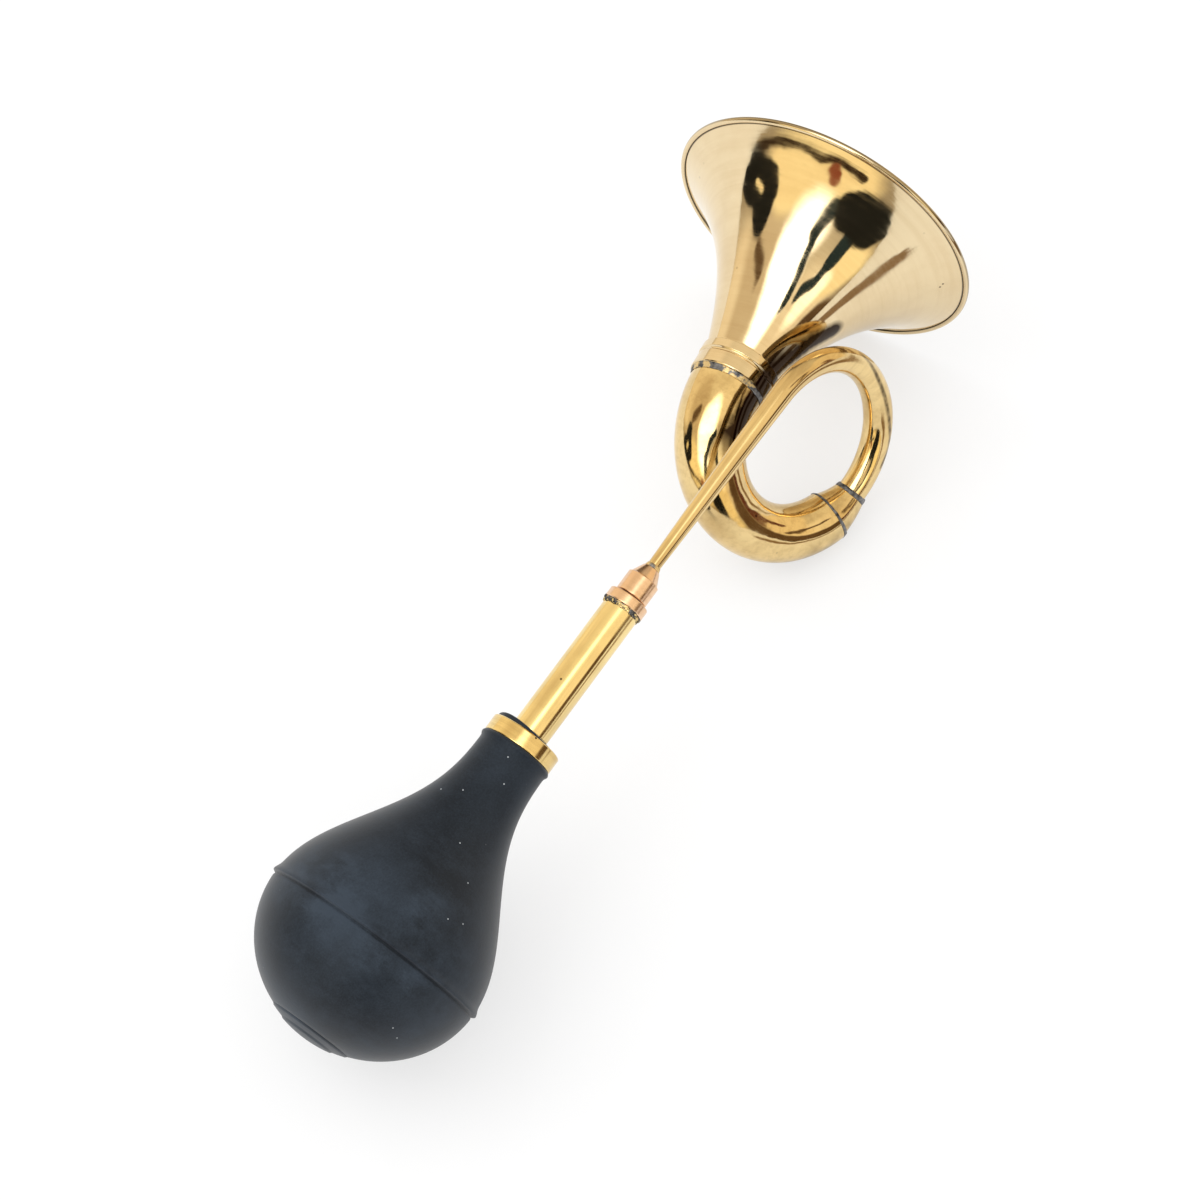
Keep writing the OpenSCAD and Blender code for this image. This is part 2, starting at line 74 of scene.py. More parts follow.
# Stations along the stem, in millimetres from the bulb's seam
shoulder_len, collar_len, lip_len = 82.5, 6.3, 1.8
barrel_len, solder_len, flange_len, washer_t = 55.4, 1.6, 4.1, 0.6
coupling_len, cone_len, stem_len = 7.9, 4.9, 80.0
collar_x = shoulder_len
collar_end = collar_x + collar_len
lip_x = collar_end + lip_len
flange_x = lip_x + barrel_len
washer_x = flange_x + flange_len
body_x = washer_x + washer_t
cone_x = body_x + coupling_len
stem_x = cone_x + cone_len
coil_x = stem_x + stem_len

clamp_x = (lip_x + flange_x - solder_len) / 2
horn = Matrix((stem_way, side_way, up_way)).transposed().to_4x4()
horn.translation = Vector(clamp["pos_m"]) - stem_way * clamp_x * MM
print("stem rises", round(math.degrees(math.asin(stem_way.z)), 2), "degrees; coil starts at", coil_x, "mm")

# %% [markdown]
# ## The camera
# The photograph looks down on the table from the bulb's side, a long lens at about a metre. The place and
# the two directions were found by laying the horn's outline over the photograph, and the lens is given as a
# share of the picture's width so that it holds at any render size. The same camera also works backwards: a
# ray through a pixel of the photograph finds the spot on the horn that shows there.

# %% Set the camera
camera_at = Vector((-0.37299, -0.38972, 0.98777))
camera_faces = Vector((0.34903, 0.34929, -0.86958)).normalized()
camera_up = Vector((0.71613, 0.49909, 0.48791))
picture_width, focal_px = 1200, 3000

camera_data = bpy.data.cameras.new("camera")
camera_data.sensor_fit = "HORIZONTAL"
camera_data.lens = camera_data.sensor_width * focal_px / picture_width
camera = bpy.data.objects.new("camera", camera_data)
bpy.context.collection.objects.link(camera)
camera_right = camera_faces.cross(camera_up).normalized()
camera_turn = Matrix((camera_right, camera_right.cross(camera_faces), -camera_faces)).transposed()
camera.matrix_world = Matrix.Translation(camera_at) @ camera_turn.to_4x4()
bpy.context.scene.camera = camera


def seen_on(node, pixels):
    """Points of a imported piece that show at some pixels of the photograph."""
    points = []
    for across, down in pixels:
        sight = Vector((across - picture_width / 2, picture_width / 2 - down, -focal_px))
        hit, point, _, _ = frame["nodes"][node].ray_cast(camera_at, camera_turn @ sight.normalized())
        if hit:
            points.append(point)
    return points


def pixels_along(corners, count):
    """Pixels in even steps along a line of corners."""
    return [tuple(a + (b - a) * i / count for a, b in zip(first, last))
            for first, last in zip(corners, corners[1:]) for i in range(count + 1)]


print("lens", round(camera_data.lens, 1), "mm")

# %% [markdown]
# ## Two ways to make a round skin
# Most of the horn was made on a lathe, so most pieces are an outline spun about an axis. The coil was bent
# from tube, so it is a circle that is extruded again and again and carried along the coil's middle line.
# Both ways give clean quads and smooth reflections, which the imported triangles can't.

# %% Spin an outline about an axis
spun_weld, swept_weld = MM / 10000, MM / 100


def piece(name, bm):
    """Turns a finished bmesh into an object with smooth shading."""
    for face in bm.faces:
        face.smooth = True
    mesh = bpy.data.meshes.new(name)
    bm.to_mesh(mesh)
    bm.free()
    made = bpy.data.objects.new(name, mesh)
    bpy.context.collection.objects.link(made)
    return made


def spun(outline, place, segments=128):
    """Spins an outline of (x, radius) in millimetres about X. It closes unless both ends are on the axis."""
    bm = bmesh.new()
    points = [bm.verts.new((x * MM, radius * MM, 0)) for x, radius in outline]
    pairs = list(zip(points, points[1:]))
    if outline[0][1] > 0 or outline[-1][1] > 0:
        pairs.append((points[-1], points[0]))
    edges = [bm.edges.new(pair) for pair in pairs]
    bmesh.ops.spin(bm, geom=points + edges, axis=(1, 0, 0), cent=(0, 0, 0), angle=math.tau,
                   steps=segments, use_merge=True)
    bmesh.ops.remove_doubles(bm, verts=bm.verts, dist=spun_weld)
    bmesh.ops.recalc_face_normals(bm, faces=bm.faces)
    bmesh.ops.transform(bm, matrix=place, verts=bm.verts)
    return bm


def crisp(made, width, corner=35):
    """Rounds the sharp corners of a turned piece by a small bevel, and keeps its flats flat."""
    bevel = made.modifiers.new("edges", "BEVEL")
    bevel.width = width * MM
    bevel.segments = 3
    bevel.limit_method = "ANGLE"
    bevel.angle_limit = math.radians(corner)
    made.modifiers.new("flats", "WEIGHTED_NORMAL").keep_sharp = True
    return made


# %% Follow the coil's middle line
coil_r, coil_drop, coil_shift, ease_turn = 34.0, 36.0, 8.0, 60.0
small_turn = 0.05


def eased(turn):
    """Share of the coil's sinking that is done at an angle of its turn."""
    eased_in = turn * turn / (2 * ease_turn) if turn < ease_turn else turn - ease_turn / 2
    return eased_in / (360 - ease_turn / 2)


def route(turn):
    """Point on the tube's middle line: the straight stem below 0 degrees, then one turn of the coil."""
    angle = math.radians(turn)
    if turn < 0:
        return Vector((coil_x + coil_r * angle, 0, 0))
    sink = eased(turn)
    return Vector((coil_x + coil_r * math.sin(angle),
                   coil_r * (math.cos(angle) - 1) - coil_shift * sink, -coil_drop * sink))


def turn_of(length):
    """Angle of the turn that a length along the coil takes."""
    return math.degrees(length / coil_r)


def heading(turn):
    """Direction of the middle line at an angle of the turn."""
    return (route(turn + small_turn) - route(turn - small_turn)).normalized()


def ring_place(turn, radius):
    """Matrix that carries a unit circle to its ring on the route."""
    way = heading(turn)
    out = way.cross(Vector((0, 0, 1))).normalized()
    ring = Matrix((out, out.cross(way), way)).transposed().to_4x4()
    ring.translation = route(turn) * MM
    return horn @ ring @ Matrix.Scale(radius * MM, 4)


def swept(stations, sides=56):
    """Carries a circle round a closed list of (turn, radius), so that outside, ends and bore join up."""
    bm = bmesh.new()
    ring = bmesh.ops.create_circle(bm, segments=sides, radius=1)["verts"]
    here = ring_place(*stations[0])
    bmesh.ops.transform(bm, matrix=here, verts=ring)
    edges = bm.edges[:]
    for station in stations[1:] + stations[:1]:
        grown = bmesh.ops.extrude_edge_only(bm, edges=edges)["geom"]
        ring = [part for part in grown if isinstance(part, bmesh.types.BMVert)]
        new = set(ring)
        edges = [part for part in grown
                 if isinstance(part, bmesh.types.BMEdge) and new.issuperset(part.verts)]
        there = ring_place(*station)
        bmesh.ops.transform(bm, matrix=there @ here.inverted(), verts=ring)
        here = there
    bmesh.ops.remove_doubles(bm, verts=bm.verts, dist=swept_weld)
    bmesh.ops.recalc_face_normals(bm, faces=bm.faces)
    return bm


def steps_between(first, last, count):
    """Values in even steps from the first to the last, both among them."""
    return [first + (last - first) * i / count for i in range(count + 1)]


def mixed(a, b, share):
    """Value at a share of the way from a to b."""
    return a + (b - a) * share


print("coil ends at", [round(c, 1) for c in route(360)], "heading", [round(c, 3) for c in heading(360)])

# %% [markdown]
# ## Finishes
# A finish is a Principled shader with a few texture nodes in front of it. One small class keeps the node
# calls short. Patterns read Object coordinates, most of them through a Mapping node that is turned to the
# stem or to the bell's axis, so streaks run along the barrel and polishing rings run round the bell.

# %% A short hand for nodes
# Numbers of the Mix node's colour sockets, which share their names with its other sockets
mix_share, mix_first, mix_second, mix_result = 0, 6, 7, 2


class Nodes:
    """One tree of shader nodes. add() makes a node and feeds its sockets, by link or by value."""

    def __init__(self, tree):
        self.tree = tree

    def add(self, kind, sockets=None, **settings):
        made = self.tree.nodes.new("ShaderNode" + kind)
        for name, value in settings.items():
            setattr(made, name, value)
        for name, value in (sockets or {}).items():
            if isinstance(value, bpy.types.NodeSocket):
                self.join(value, made.inputs[name])
            else:
                made.inputs[name].default_value = value
        return made

    def join(self, source, target):
        self.tree.links.new(source, target)

    def place(self):
        """Object coordinates, in metres."""
        return self.add("TexCoord").outputs["Object"]

    def parts(self, vector):
        """The X, Y and Z of a vector."""
        return self.add("SeparateXYZ", {"Vector": vector}).outputs

    def cloud(self, vector, grain, detail=4.0, roughness=0.55):
        """Noise from 0 to 1 with a grain in features for each metre."""
        return self.add("TexNoise", {"Vector": vector, "Scale": grain, "Detail": detail,
                                     "Roughness": roughness}).outputs["Fac"]

    def specks(self, vector, grain):
        """Distance from the nearest of some scattered points, in shares of their spacing."""
        return self.add("TexVoronoi", {"Vector": vector, "Scale": grain,
                                       "Randomness": 1.0}).outputs["Distance"]

    def between(self, value, low, high, to_low=0.0, to_high=1.0, curve="LINEAR"):
        """Maps low..high onto to_low..to_high, and holds it there outside."""
        return self.add("MapRange", {"Value": value, "From Min": low, "From Max": high, "To Min": to_low,
                                     "To Max": to_high}, interpolation_type=curve).outputs["Result"]

    def fade(self, length, low, high, to_low=0.0, to_high=1.0):
        """The same for a length, between two places in millimetres."""
        return self.between(length, low * MM, high * MM, to_low, to_high)

    def math(self, operation, a, b=0.0):
        return self.add("Math", {0: a, 1: b}, operation=operation).outputs["Value"]

    def combined(self, operation, first, *others):
        """One operation over a row of values."""
        for other in others:
            first = self.math(operation, first, other)
        return first

    def off(self, length, middle):
        """Distance of a length from a middle in millimetres, to either side."""
        return self.math("ABSOLUTE", self.math("SUBTRACT", length, middle * MM))

    def vector(self, operation, a, b=(0, 0, 0), result="Vector"):
        return self.add("VectorMath", {0: a, 1: b}, operation=operation).outputs[result]

    def from_line(self, where, first, last):
        """Distance of a place from the straight line between two points."""
        away = self.vector("SUBTRACT", where, first)
        if first != last:
            span = last - first
            share = self.vector("DOT_PRODUCT", away, span / span.length_squared, "Value")
            nearest = self.add("VectorMath", {0: span, "Scale": self.between(share, 0.0, 1.0)},
                               operation="SCALE").outputs["Vector"]
            away = self.vector("SUBTRACT", away, nearest)
        return self.vector("LENGTH", away, result="Value")

    def blend(self, share, first, second):
        """Mixes two colours, each a socket or three numbers."""
        first, second = [c if isinstance(c, bpy.types.NodeSocket) else (*c, 1) for c in (first, second)]
        mix = self.add("Mix", {mix_share: share, mix_first: first, mix_second: second}, data_type="RGBA")
        return mix.outputs[mix_result]

    def surface(self, output, share, first, second):
        """Mixes two shaders and joins them to the tree's output node."""
        mix = self.add("MixShader", {0: share, 1: first, 2: second})
        self.join(mix.outputs["Shader"], self.tree.nodes[output].inputs["Surface"])


# %% A finish made of nodes
class Finish(Nodes):
    """One procedural material."""

    def __init__(self, name, **sockets):
        self.material = bpy.data.materials.new(name)
        self.material.use_nodes = True
        super().__init__(self.material.node_tree)
        self.shader = self.tree.nodes["Principled BSDF"]
        for socket, value in sockets.items():
            self.shader.inputs[socket.replace("_", " ")].default_value = value

    def give(self, **sockets):
        """Links outputs to the shader's sockets."""
        for socket, source in sockets.items():
            self.join(source, self.shader.inputs[socket.replace("_", " ")])

    def axes(self, matrix, stretch=(1, 1, 1)):
        """Object coordinates seen in the axes of a matrix, stretched along them."""
        own = self.add("Mapping", {"Vector": self.place(), "Location": matrix.translation,
                                   "Rotation": matrix.to_euler()}, vector_type="TEXTURE").outputs["Vector"]
        if stretch == (1, 1, 1):
            return own
        return self.add("Mapping", {"Vector": own, "Scale": stretch}).outputs["Vector"]

    def marks(self, points, size):
        """1 on each of some points, and 0 beyond a size in millimetres round them."""
        where = self.place()
        away = [self.vector("DISTANCE", where, point, "Value") for point in points]
        return self.combined("MAXIMUM", *[self.fade(one, size / 2, size, 1.0, 0.0) for one in away])

    def relief(self, height, strength, depth, *coarser):
        """Bump from a height of 0 to 1 that stands for a depth in millimetres, over any coarser reliefs."""
        normal = None
        for level, share, deep in (*coarser, (height, strength, depth)):
            bump = self.add("Bump", {"Height": level, "Strength": share, "Distance": deep * MM})
            if normal:
                self.join(normal, bump.inputs["Normal"])
            normal = bump.outputs["Normal"]
        self.give(Normal=normal)


# %% [markdown]
# ## Brass
# Yellow brass is a metal whose mirror colour is a warm gold. What makes it look real is what a hand leaves on
# it: clouds of thin tarnish, wiped smudges that blur the reflection, fine lines from the polishing cloth and
# a few pits and dents. The cloth's lines run along the barrel and round the bell, so the same recipe is given
# the axes and the stretch for each piece.

# %% Write the recipe for brass
gold = (0.80, 0.60, 0.29)
bright_gold = (0.91, 0.71, 0.33)
deep_gold = (0.88, 0.66, 0.28)
pale_gold = (0.80, 0.65, 0.41)
tan_film = (0.66, 0.49, 0.28)
tarnish = (0.44, 0.28, 0.11)
orange_brass = (0.85, 0.58, 0.37)
dull_orange = (0.60, 0.36, 0.20)
# Dark brown of pits and nicks, and also the colour of the painted shade that some stains lay on the brass
grime_and_shade = (0.032, 0.019, 0.011)
along_stem, round_stem, round_bell, no_way = (0.03, 1, 1), (1, 0.05, 0.05), (1, 0.03, 0.03), (1, 1, 1)

# Grains of the patterns, in features for each metre, and how much of each shows
cloud_grain, streak_grain, pit_grain, smudge_grain, cloth_grain, dent_grain = 34, 330, 95, 60, 1400, 75
cloud_share, streak_share, pit_share, cloth_wear, cloth_depth = 0.75, 0.42, 0.25, 0.03, 0.02


def brass(name, colour, shade, matrix, stretch, shine, lines, stains_and_shade=(), dents=0.03):
    """Polished brass with tarnish, streaks, smudges, cloth lines, pits and dents. Each stain, and each patch of
    painted shade, darkens it towards grime.
    """
    finish = Finish(name, Metallic=1.0)
    own = finish.axes(matrix)
    wiped = finish.axes(matrix, stretch)
    clouds = finish.between(finish.cloud(own, cloud_grain, 6.0), 0.46, 0.80, 0.0, cloud_share)
    tint = finish.blend(clouds, colour, shade)
    streaks = finish.between(finish.cloud(wiped, streak_grain, 4.0, 0.7), 0.45, 0.75, 0.0, streak_share)
    tint = finish.blend(streaks, tint, shade)
    pits = finish.between(finish.specks(own, pit_grain), 0.03, 0.06, pit_share, 0.0)
    tint = finish.blend(pits, tint, grime_and_shade)
    # Real stains and painted shade alike darken the brass towards this colour
    for stain in stains_and_shade:
        tint = finish.blend(stain(finish), tint, grime_and_shade)
    smudge = finish.between(finish.cloud(own, smudge_grain, 5.0, 0.6), 0.35, 0.75, *shine)
    cloth = finish.cloud(wiped, cloth_grain, 3.0)
    worn = finish.between(cloth, 0.3, 0.7, -cloth_wear, cloth_wear)
    finish.give(Base_Color=tint, Roughness=finish.math("ADD", smudge, worn))
    finish.relief(cloth, lines, cloth_depth, (finish.cloud(own, dent_grain, 1.5), 1.0, dents))
    return finish.material


bell_way = heading(360)
bell_side = bell_way.cross(Vector((0, 0, 1))).normalized()
bell_place = Matrix((bell_way, bell_side, bell_way.cross(bell_side))).transposed().to_4x4()
bell_place.translation = route(360) * MM
bell_place = horn @ bell_place
print("bell faces", [round(c, 3) for c in bell_place.col[0][:3]])

# %% [markdown]
# Stains repeat what the photograph shows. Nicks sit where it shows them. The rest is painted shade: in the fold of
# the bell's rim, below the stem where it crosses the crook, on the stem's side that faces the crook, and in
# the wedge between the bell and the coil. A painted dark reflection runs along the coil's far arm, and painted
# shade darkens the crook near the table.

# %% Stains and painted shade for the brass
# Sizes and places in millimetres: in the horn's own axes, from the bell's axis or above the table
nick_size, wedge_size, line_half = 0.5, 5.4, 1.3
rim_crease, crease_half, rim_edge, edge_soft = 58.9, 0.3, 60.7, 0.3
# Where the painted shade below the stem and on the stem's belly lies, in the horn's axes
gap_y, gap_half, gap_soft, gap_ragged, gap_low, gap_sink = -9.5, 5.2, 1.5, 1.2, -30.0, 4.0
gap_from, gap_to, gap_fade = 226.0, 258.0, 26.0
belly_top, belly_low, bend_out, bend_in, belly_fade = -1.2, -3.2, -14.0, -7.0, 12.0
# Heights above the table, in millimetres, of the painted shade low on the crook
table_shade_low, table_shade_high = 4.0, 18.0
ragged_grain, line_grain, table_shade_grain = 160, 220, 130
fold_shade_share, edge_share, belly_share, table_shade_share = 0.9, 0.6, 0.85, 0.65

# Pixels of the photograph where nicks show, and along which painted shade and a painted reflection are laid
bell_nicks, crook_nicks = [(940, 287), (943, 284)], [(684, 388), (683, 385), (756, 516)]
barrel_nicks, collar_nicks = [(561, 679)], [(536, 738)]
wedge_line, wedge_steps = [(757, 389), (784, 363), (812, 342), (833, 331)], 4
arm_line = [(860, 353), (873, 368), (881, 385), (886, 400), (889, 418), (890, 437), (887, 452), (881, 467)]


def nicks(node, pixels):
    """Stain of small dark nicks at some pixels of a piece."""
    points = seen_on(node, pixels)
    return lambda finish: finish.marks(points, nick_size)


def rim_fold_shade(finish):
    """Painted shade in the fold where the bell's rolled edge meets its sheet, and a darker line on the very edge.
    """
    parts = finish.parts(finish.axes(bell_place))
    squares = [finish.math("POWER", parts[way], 2.0) for way in "YZ"]
    radius = finish.math("SQRT", finish.math("ADD", *squares))
    off = finish.off(radius, rim_crease)
    # Painted shade along the fold
    crease_shade = finish.fade(off, crease_half / 2, crease_half * 1.5, fold_shade_share, 0.0)
    edge = finish.fade(radius, rim_edge, rim_edge + edge_soft, 0.0, edge_share)
    return finish.math("MAXIMUM", crease_shade, edge)


def shade_under_stem(finish):
    """Painted shade on what lies close below the stem, where the stem's dark reflection falls, with a ragged edge.
    """
    own = finish.axes(horn)
    parts = finish.parts(own)
    ragged = finish.cloud(own, ragged_grain, 4.0)
    ragged = finish.between(ragged, 0.3, 0.7, -gap_ragged * MM, gap_ragged * MM)
    off = finish.math("ADD", finish.off(parts["Y"], gap_y), ragged)
    beside = finish.fade(off, gap_half / 2, gap_half + gap_soft, 1.0, 0.0)
    upper = finish.fade(parts["Z"], gap_low - gap_sink, gap_low)
    begun = finish.fade(parts["X"], gap_from - gap_fade / 2, gap_from)
    ended = finish.fade(parts["X"], gap_to, gap_to + gap_fade, 1.0, 0.0)
    return finish.combined("MULTIPLY", beside, upper, begun, ended)


def shade_by_coil(finish):
    """Painted shade in the narrow wedge between the bell and the coil."""
    line = pixels_along(wedge_line, wedge_steps)
    return finish.marks(seen_on("bell", line) + seen_on("neck_ferrule", line), wedge_size)


def shaded_stem_belly(finish):
    """Painted shade on the side of the stem that faces the crook, which darkens its reflection there."""
    parts = finish.parts(finish.axes(horn))
    below = finish.fade(parts["Z"], belly_top, belly_low, 0.0, belly_share)
    straight = finish.fade(parts["Y"], bend_out, bend_in)
    near = finish.fade(parts["X"], gap_from - belly_fade, gap_from)
    return finish.combined("MULTIPLY", below, straight, near)


def coil_dark_reflection(finish):
    """A painted dark reflection along the outer side of the coil's far arm."""
    where = finish.place()
    points = seen_on("lead_tube", arm_line)
    off = finish.combined("MINIMUM", *[finish.from_line(where, *ends) for ends in zip(points, points[1:])])
    ragged = finish.between(finish.cloud(where, line_grain, 4.0), 0.35, 0.6, 0.3, 0.85)
    return finish.math("MULTIPLY", finish.fade(off, line_half / 3, line_half, 1.0, 0.0), ragged)


def table_shade(finish):
    """Painted shade: darker patches low on the crook, near the table it lies on."""
    where = finish.place()
    low = finish.fade(finish.parts(where)["Z"], table_shade_low, table_shade_high, table_shade_share, 0.0)
    return finish.math("MULTIPLY", low, finish.between(finish.cloud(where, table_shade_grain, 5.0), 0.38, 0.62))


print("pixels on the coil's line:", len(arm_line))

# %% Make the brass finishes
bell_brass = brass("bell_brass", pale_gold, tan_film, bell_place, round_bell, shine=(0.04, 0.14), lines=0.25,
                   stains_and_shade=(nicks("bell", bell_nicks), rim_fold_shade, shade_under_stem, shade_by_coil), dents=0.10)
tube_brass = brass("tube_brass", gold, tarnish, horn, no_way, shine=(0.05, 0.16), lines=0.05,
                   stains_and_shade=(nicks("large_crook", crook_nicks), shade_under_stem, table_shade), dents=0.3)
stem_brass = brass("stem_brass", gold, tarnish, horn, along_stem, shine=(0.08, 0.20), lines=0.15,
                   stains_and_shade=(shaded_stem_belly, coil_dark_reflection), dents=0.12)
barrel_brass = brass("barrel_brass", bright_gold, tarnish, horn, along_stem, shine=(0.10, 0.22), lines=0.25,
                     stains_and_shade=(nicks("barrel", barrel_nicks),))
collar_brass = brass("collar_brass", deep_gold, tarnish, horn, round_stem, shine=(0.10, 0.22), lines=0.2,
                     stains_and_shade=(nicks("bulb_collar", collar_nicks),))
coupling_brass = brass("coupling_brass", orange_brass, dull_orange, horn, round_stem, shine=(0.17, 0.30),
                       lines=0.3)
reed_brass = brass("reed_brass", gold, dull_orange, horn, along_stem, shine=(0.2, 0.35), lines=0.2)
brasses = (bell_brass, tube_brass, stem_brass, barrel_brass, collar_brass, coupling_brass, reed_brass)
print("brass finishes:", ", ".join(made.name for made in brasses))

# %% [markdown]
# ## Solder, steel and leather
# Old solder is a dull, lumpy grey metal that wears away and leaves the brass under it bare. The same recipe
# with a tighter grain gives the steel of the screws and of the rim's wire. The washer is dark oiled leather,
# for which a fine noise is enough: its pores are dark, and the rest has been pressed smooth.

# %% Make the dull finishes
stain_grain, lump_share, lump_depth, spot_size = 420, 0.6, 0.15, 1.7
solder_spots = [(652, 566), (653, 569)]
pore_grain, pore_share, pore_depth = 1800, 0.5, 0.1
dull_rough, leather_rough = (0.62, 0.38), (0.75, 0.55)
dark_leather, pale_leather = (0.02, 0.014, 0.010), (0.07, 0.045, 0.03)


def dull_metal(name, dark, light, metal, grain, bare=0.0, left=(), patches=260, under=gold):
    """Rough grey metal with lumps and stains, worn to bare brass in patches, or all but some spots."""
    finish = Finish(name, Metallic=metal)
    own = finish.axes(horn)
    stain = finish.between(finish.cloud(own, stain_grain, 6.0, 0.65), 0.35, 0.7)
    tint = finish.blend(stain, dark, light)
    if left:
        worn = finish.math("SUBTRACT", 1.0, finish.marks(left, spot_size))
    else:
        worn = finish.between(finish.cloud(own, patches, 5.0, 0.6), 0.50, 0.56, 0.0, bare)
    finish.give(Base_Color=finish.blend(worn, tint, under),
                Roughness=finish.between(stain, 0.0, 1.0, *dull_rough))
    finish.relief(finish.cloud(own, grain, 5.0, 0.6), lump_share, lump_depth)
    return finish.material


def oiled_leather(name):
    """Dark leather with fine pores."""
    finish = Finish(name, Specular_IOR_Level=0.3)
    pores = finish.cloud(finish.axes(horn), pore_grain, 4.0)
    finish.give(Base_Color=finish.blend(pores, dark_leather, pale_leather),
                Roughness=finish.between(pores, 0.3, 0.7, *leather_rough))
    finish.relief(pores, pore_share, pore_depth)
    return finish.material


solder = dull_metal("solder", (0.035, 0.036, 0.04), (0.30, 0.30, 0.31), metal=0.7, grain=900)
worn_solder = dull_metal("worn_solder", (0.05, 0.05, 0.055), (0.32, 0.32, 0.33), metal=0.85, grain=700,
                         bare=0.9)
crumbled_solder = dull_metal("crumbled_solder", (0.008, 0.009, 0.010), (0.20, 0.20, 0.21), metal=0.8,
                             grain=1100, bare=0.95, patches=520, under=bright_gold)
last_solder = dull_metal("last_solder", (0.16, 0.15, 0.14), (0.42, 0.41, 0.40), metal=0.9, grain=700,
                         left=seen_on("stem_solder", solder_spots))
steel = dull_metal("steel", (0.28, 0.27, 0.26), (0.52, 0.52, 0.53), metal=1.0, grain=1500)
leather = oiled_leather("oiled_leather")
dull = (solder, worn_solder, crumbled_solder, last_solder, steel, leather)
print("dull finishes:", ", ".join(made.name for made in dull))

# %% [markdown]
# ## Rubber
# The rubber of the bulb is blue-black and matt, with a grey bloom that comes out of old rubber in smudges,
# and with dust stuck to it. Sheen lightens it where the surface turns away, as the powdery bloom does. The
# bloom is a sum of several noises: wide clouds, smears that run round the bulb, more where hands rub the seam
# and the end, and a fine powder.

# %% Make the rubber
black_rubber, grey_bloom, pale_dust = (0.0046, 0.0085, 0.0145), (0.031, 0.043, 0.060), (0.50, 0.53, 0.54)
smear_stretch, chalk_stretch = (1, 0.35, 0.35), (1, 0.5, 0.5)
bloom_grain, smear_grain, patch_grain, chalk_grain, powder_grain = 22, 95, 45, 260, 1500
speck_grain, chosen_grain, skin_grain, skin_share, skin_depth = 260, 95, 700, 0.25, 0.12
bloom_share, smear_share, chalk_share, seam_share, end_share = 0.5, 0.42, 0.6, 0.6, 0.7
# The first share is the painted shade in the seam's crease
crease_shade_share, speck_share, rubber_rough = 0.5, 0.25, (0.46, 0.66)

# Millimetres along the stem from the seam, and sizes of marks
seam_near, seam_far, end_from, end_to = 2.0, 30.0, -40.0, -24.0
crease_x, crease_in, crease_out = -1.0, 0.2, 0.8
dust_size, rubbed_size = 0.3, 11.0

# Pixels of the photograph where chalky rubs and dust show
rubbed_shoulder = [(303, 860), (335, 872), (425, 915)]
rubbed_base = [(325, 895), (372, 950), (420, 975)]
dust_shoulder = [(508, 757), (504, 784), (441, 789), (463, 790), (460, 843), (468, 883), (448, 919),
                 (463, 924)]
dust_base = [(393, 1028), (397, 1038)]
rubbed_at = seen_on("bulb_shoulder", rubbed_shoulder) + seen_on("bulb_base", rubbed_base)
dust_at = seen_on("bulb_shoulder", dust_shoulder) + seen_on("bulb_base", dust_base)


def bulb_rubber(name):
    """Matt blue-black rubber with bloom, smears, chalky rubs, dust, a fine grain and painted shade in the crease
    by the seam.
    """
    finish = Finish(name, Specular_IOR_Level=0.18, Sheen_Weight=0.19, Sheen_Roughness=0.45)
    own = finish.axes(horn)
    along = finish.parts(own)["X"]
    bloom = finish.between(finish.cloud(own, bloom_grain, 7.0, 0.62), 0.42, 0.78, 0.0, bloom_share)
    smears = finish.cloud(finish.axes(horn, smear_stretch), smear_grain, 6.0, 0.7)
    smears = finish.between(smears, 0.5, 0.80, 0.0, smear_share)
    seam = finish.fade(finish.off(along, 0.0), seam_near, seam_far, seam_share, 0.0)
    end = finish.fade(along, end_from, end_to, end_share, 0.0)
    patchy = finish.between(finish.cloud(own, patch_grain, 6.0, 0.65), 0.35, 0.65)
    handled = finish.math("MULTIPLY", finish.math("ADD", seam, end), patchy)
    chalk = finish.cloud(finish.axes(horn, chalk_stretch), chalk_grain, 7.0, 0.72)
    chalk = finish.between(chalk, 0.38, 0.72, 0.0, chalk_share)
    rubbed = finish.math("MULTIPLY", finish.marks(rubbed_at, rubbed_size), chalk)
    powder = finish.between(finish.cloud(own, powder_grain, 3.0, 0.7), 0.35, 0.75, -0.12, 0.2)
    # Painted shade in the crease behind the seam
    crease_shade = finish.fade(finish.off(along, crease_x), crease_in, crease_out, crease_shade_share, 0.0)
    aged = finish.combined("ADD", bloom, smears, handled, rubbed, powder)
    aged = finish.math("SUBTRACT", aged, crease_shade)
    tint = finish.blend(aged, black_rubber, grey_bloom)
    fine = finish.between(finish.specks(own, speck_grain), 0.04, 0.07, speck_share, 0.0)
    chosen = finish.between(finish.cloud(own, chosen_grain, 2.0), 0.62, 0.66)
    dust = finish.math("MAXIMUM", finish.math("MULTIPLY", fine, chosen), finish.marks(dust_at, dust_size))
    finish.give(Base_Color=finish.blend(dust, tint, pale_dust),
                Roughness=finish.between(aged, 0.0, 1.0, *rubber_rough))
    finish.relief(finish.cloud(own, skin_grain, 6.0, 0.6), skin_share, skin_depth)
    return finish.material


rubber = bulb_rubber("bulb_rubber")
print("rubs and dust found on the bulb:", len(rubbed_at), len(dust_at))


# %% Dress a finished piece
def fit_out(made, finish, body, slot, *nodes):
    """Dresses a piece, lets it ride on its body, if it has just one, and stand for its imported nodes."""
    made.data.materials.append(finish)
    if body:
        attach(made, body)
    if nodes:
        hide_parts(*nodes)
    return made


# %% [markdown]
# ## The bulb
# The bulb is one moulding of rubber: a rounded end, a seam where the mould's halves met, and a long shoulder
# that draws in to the neck. A sphere that is pulled about would lose the seam, so the whole wall, outside and
# inside, is one outline spun about the stem.

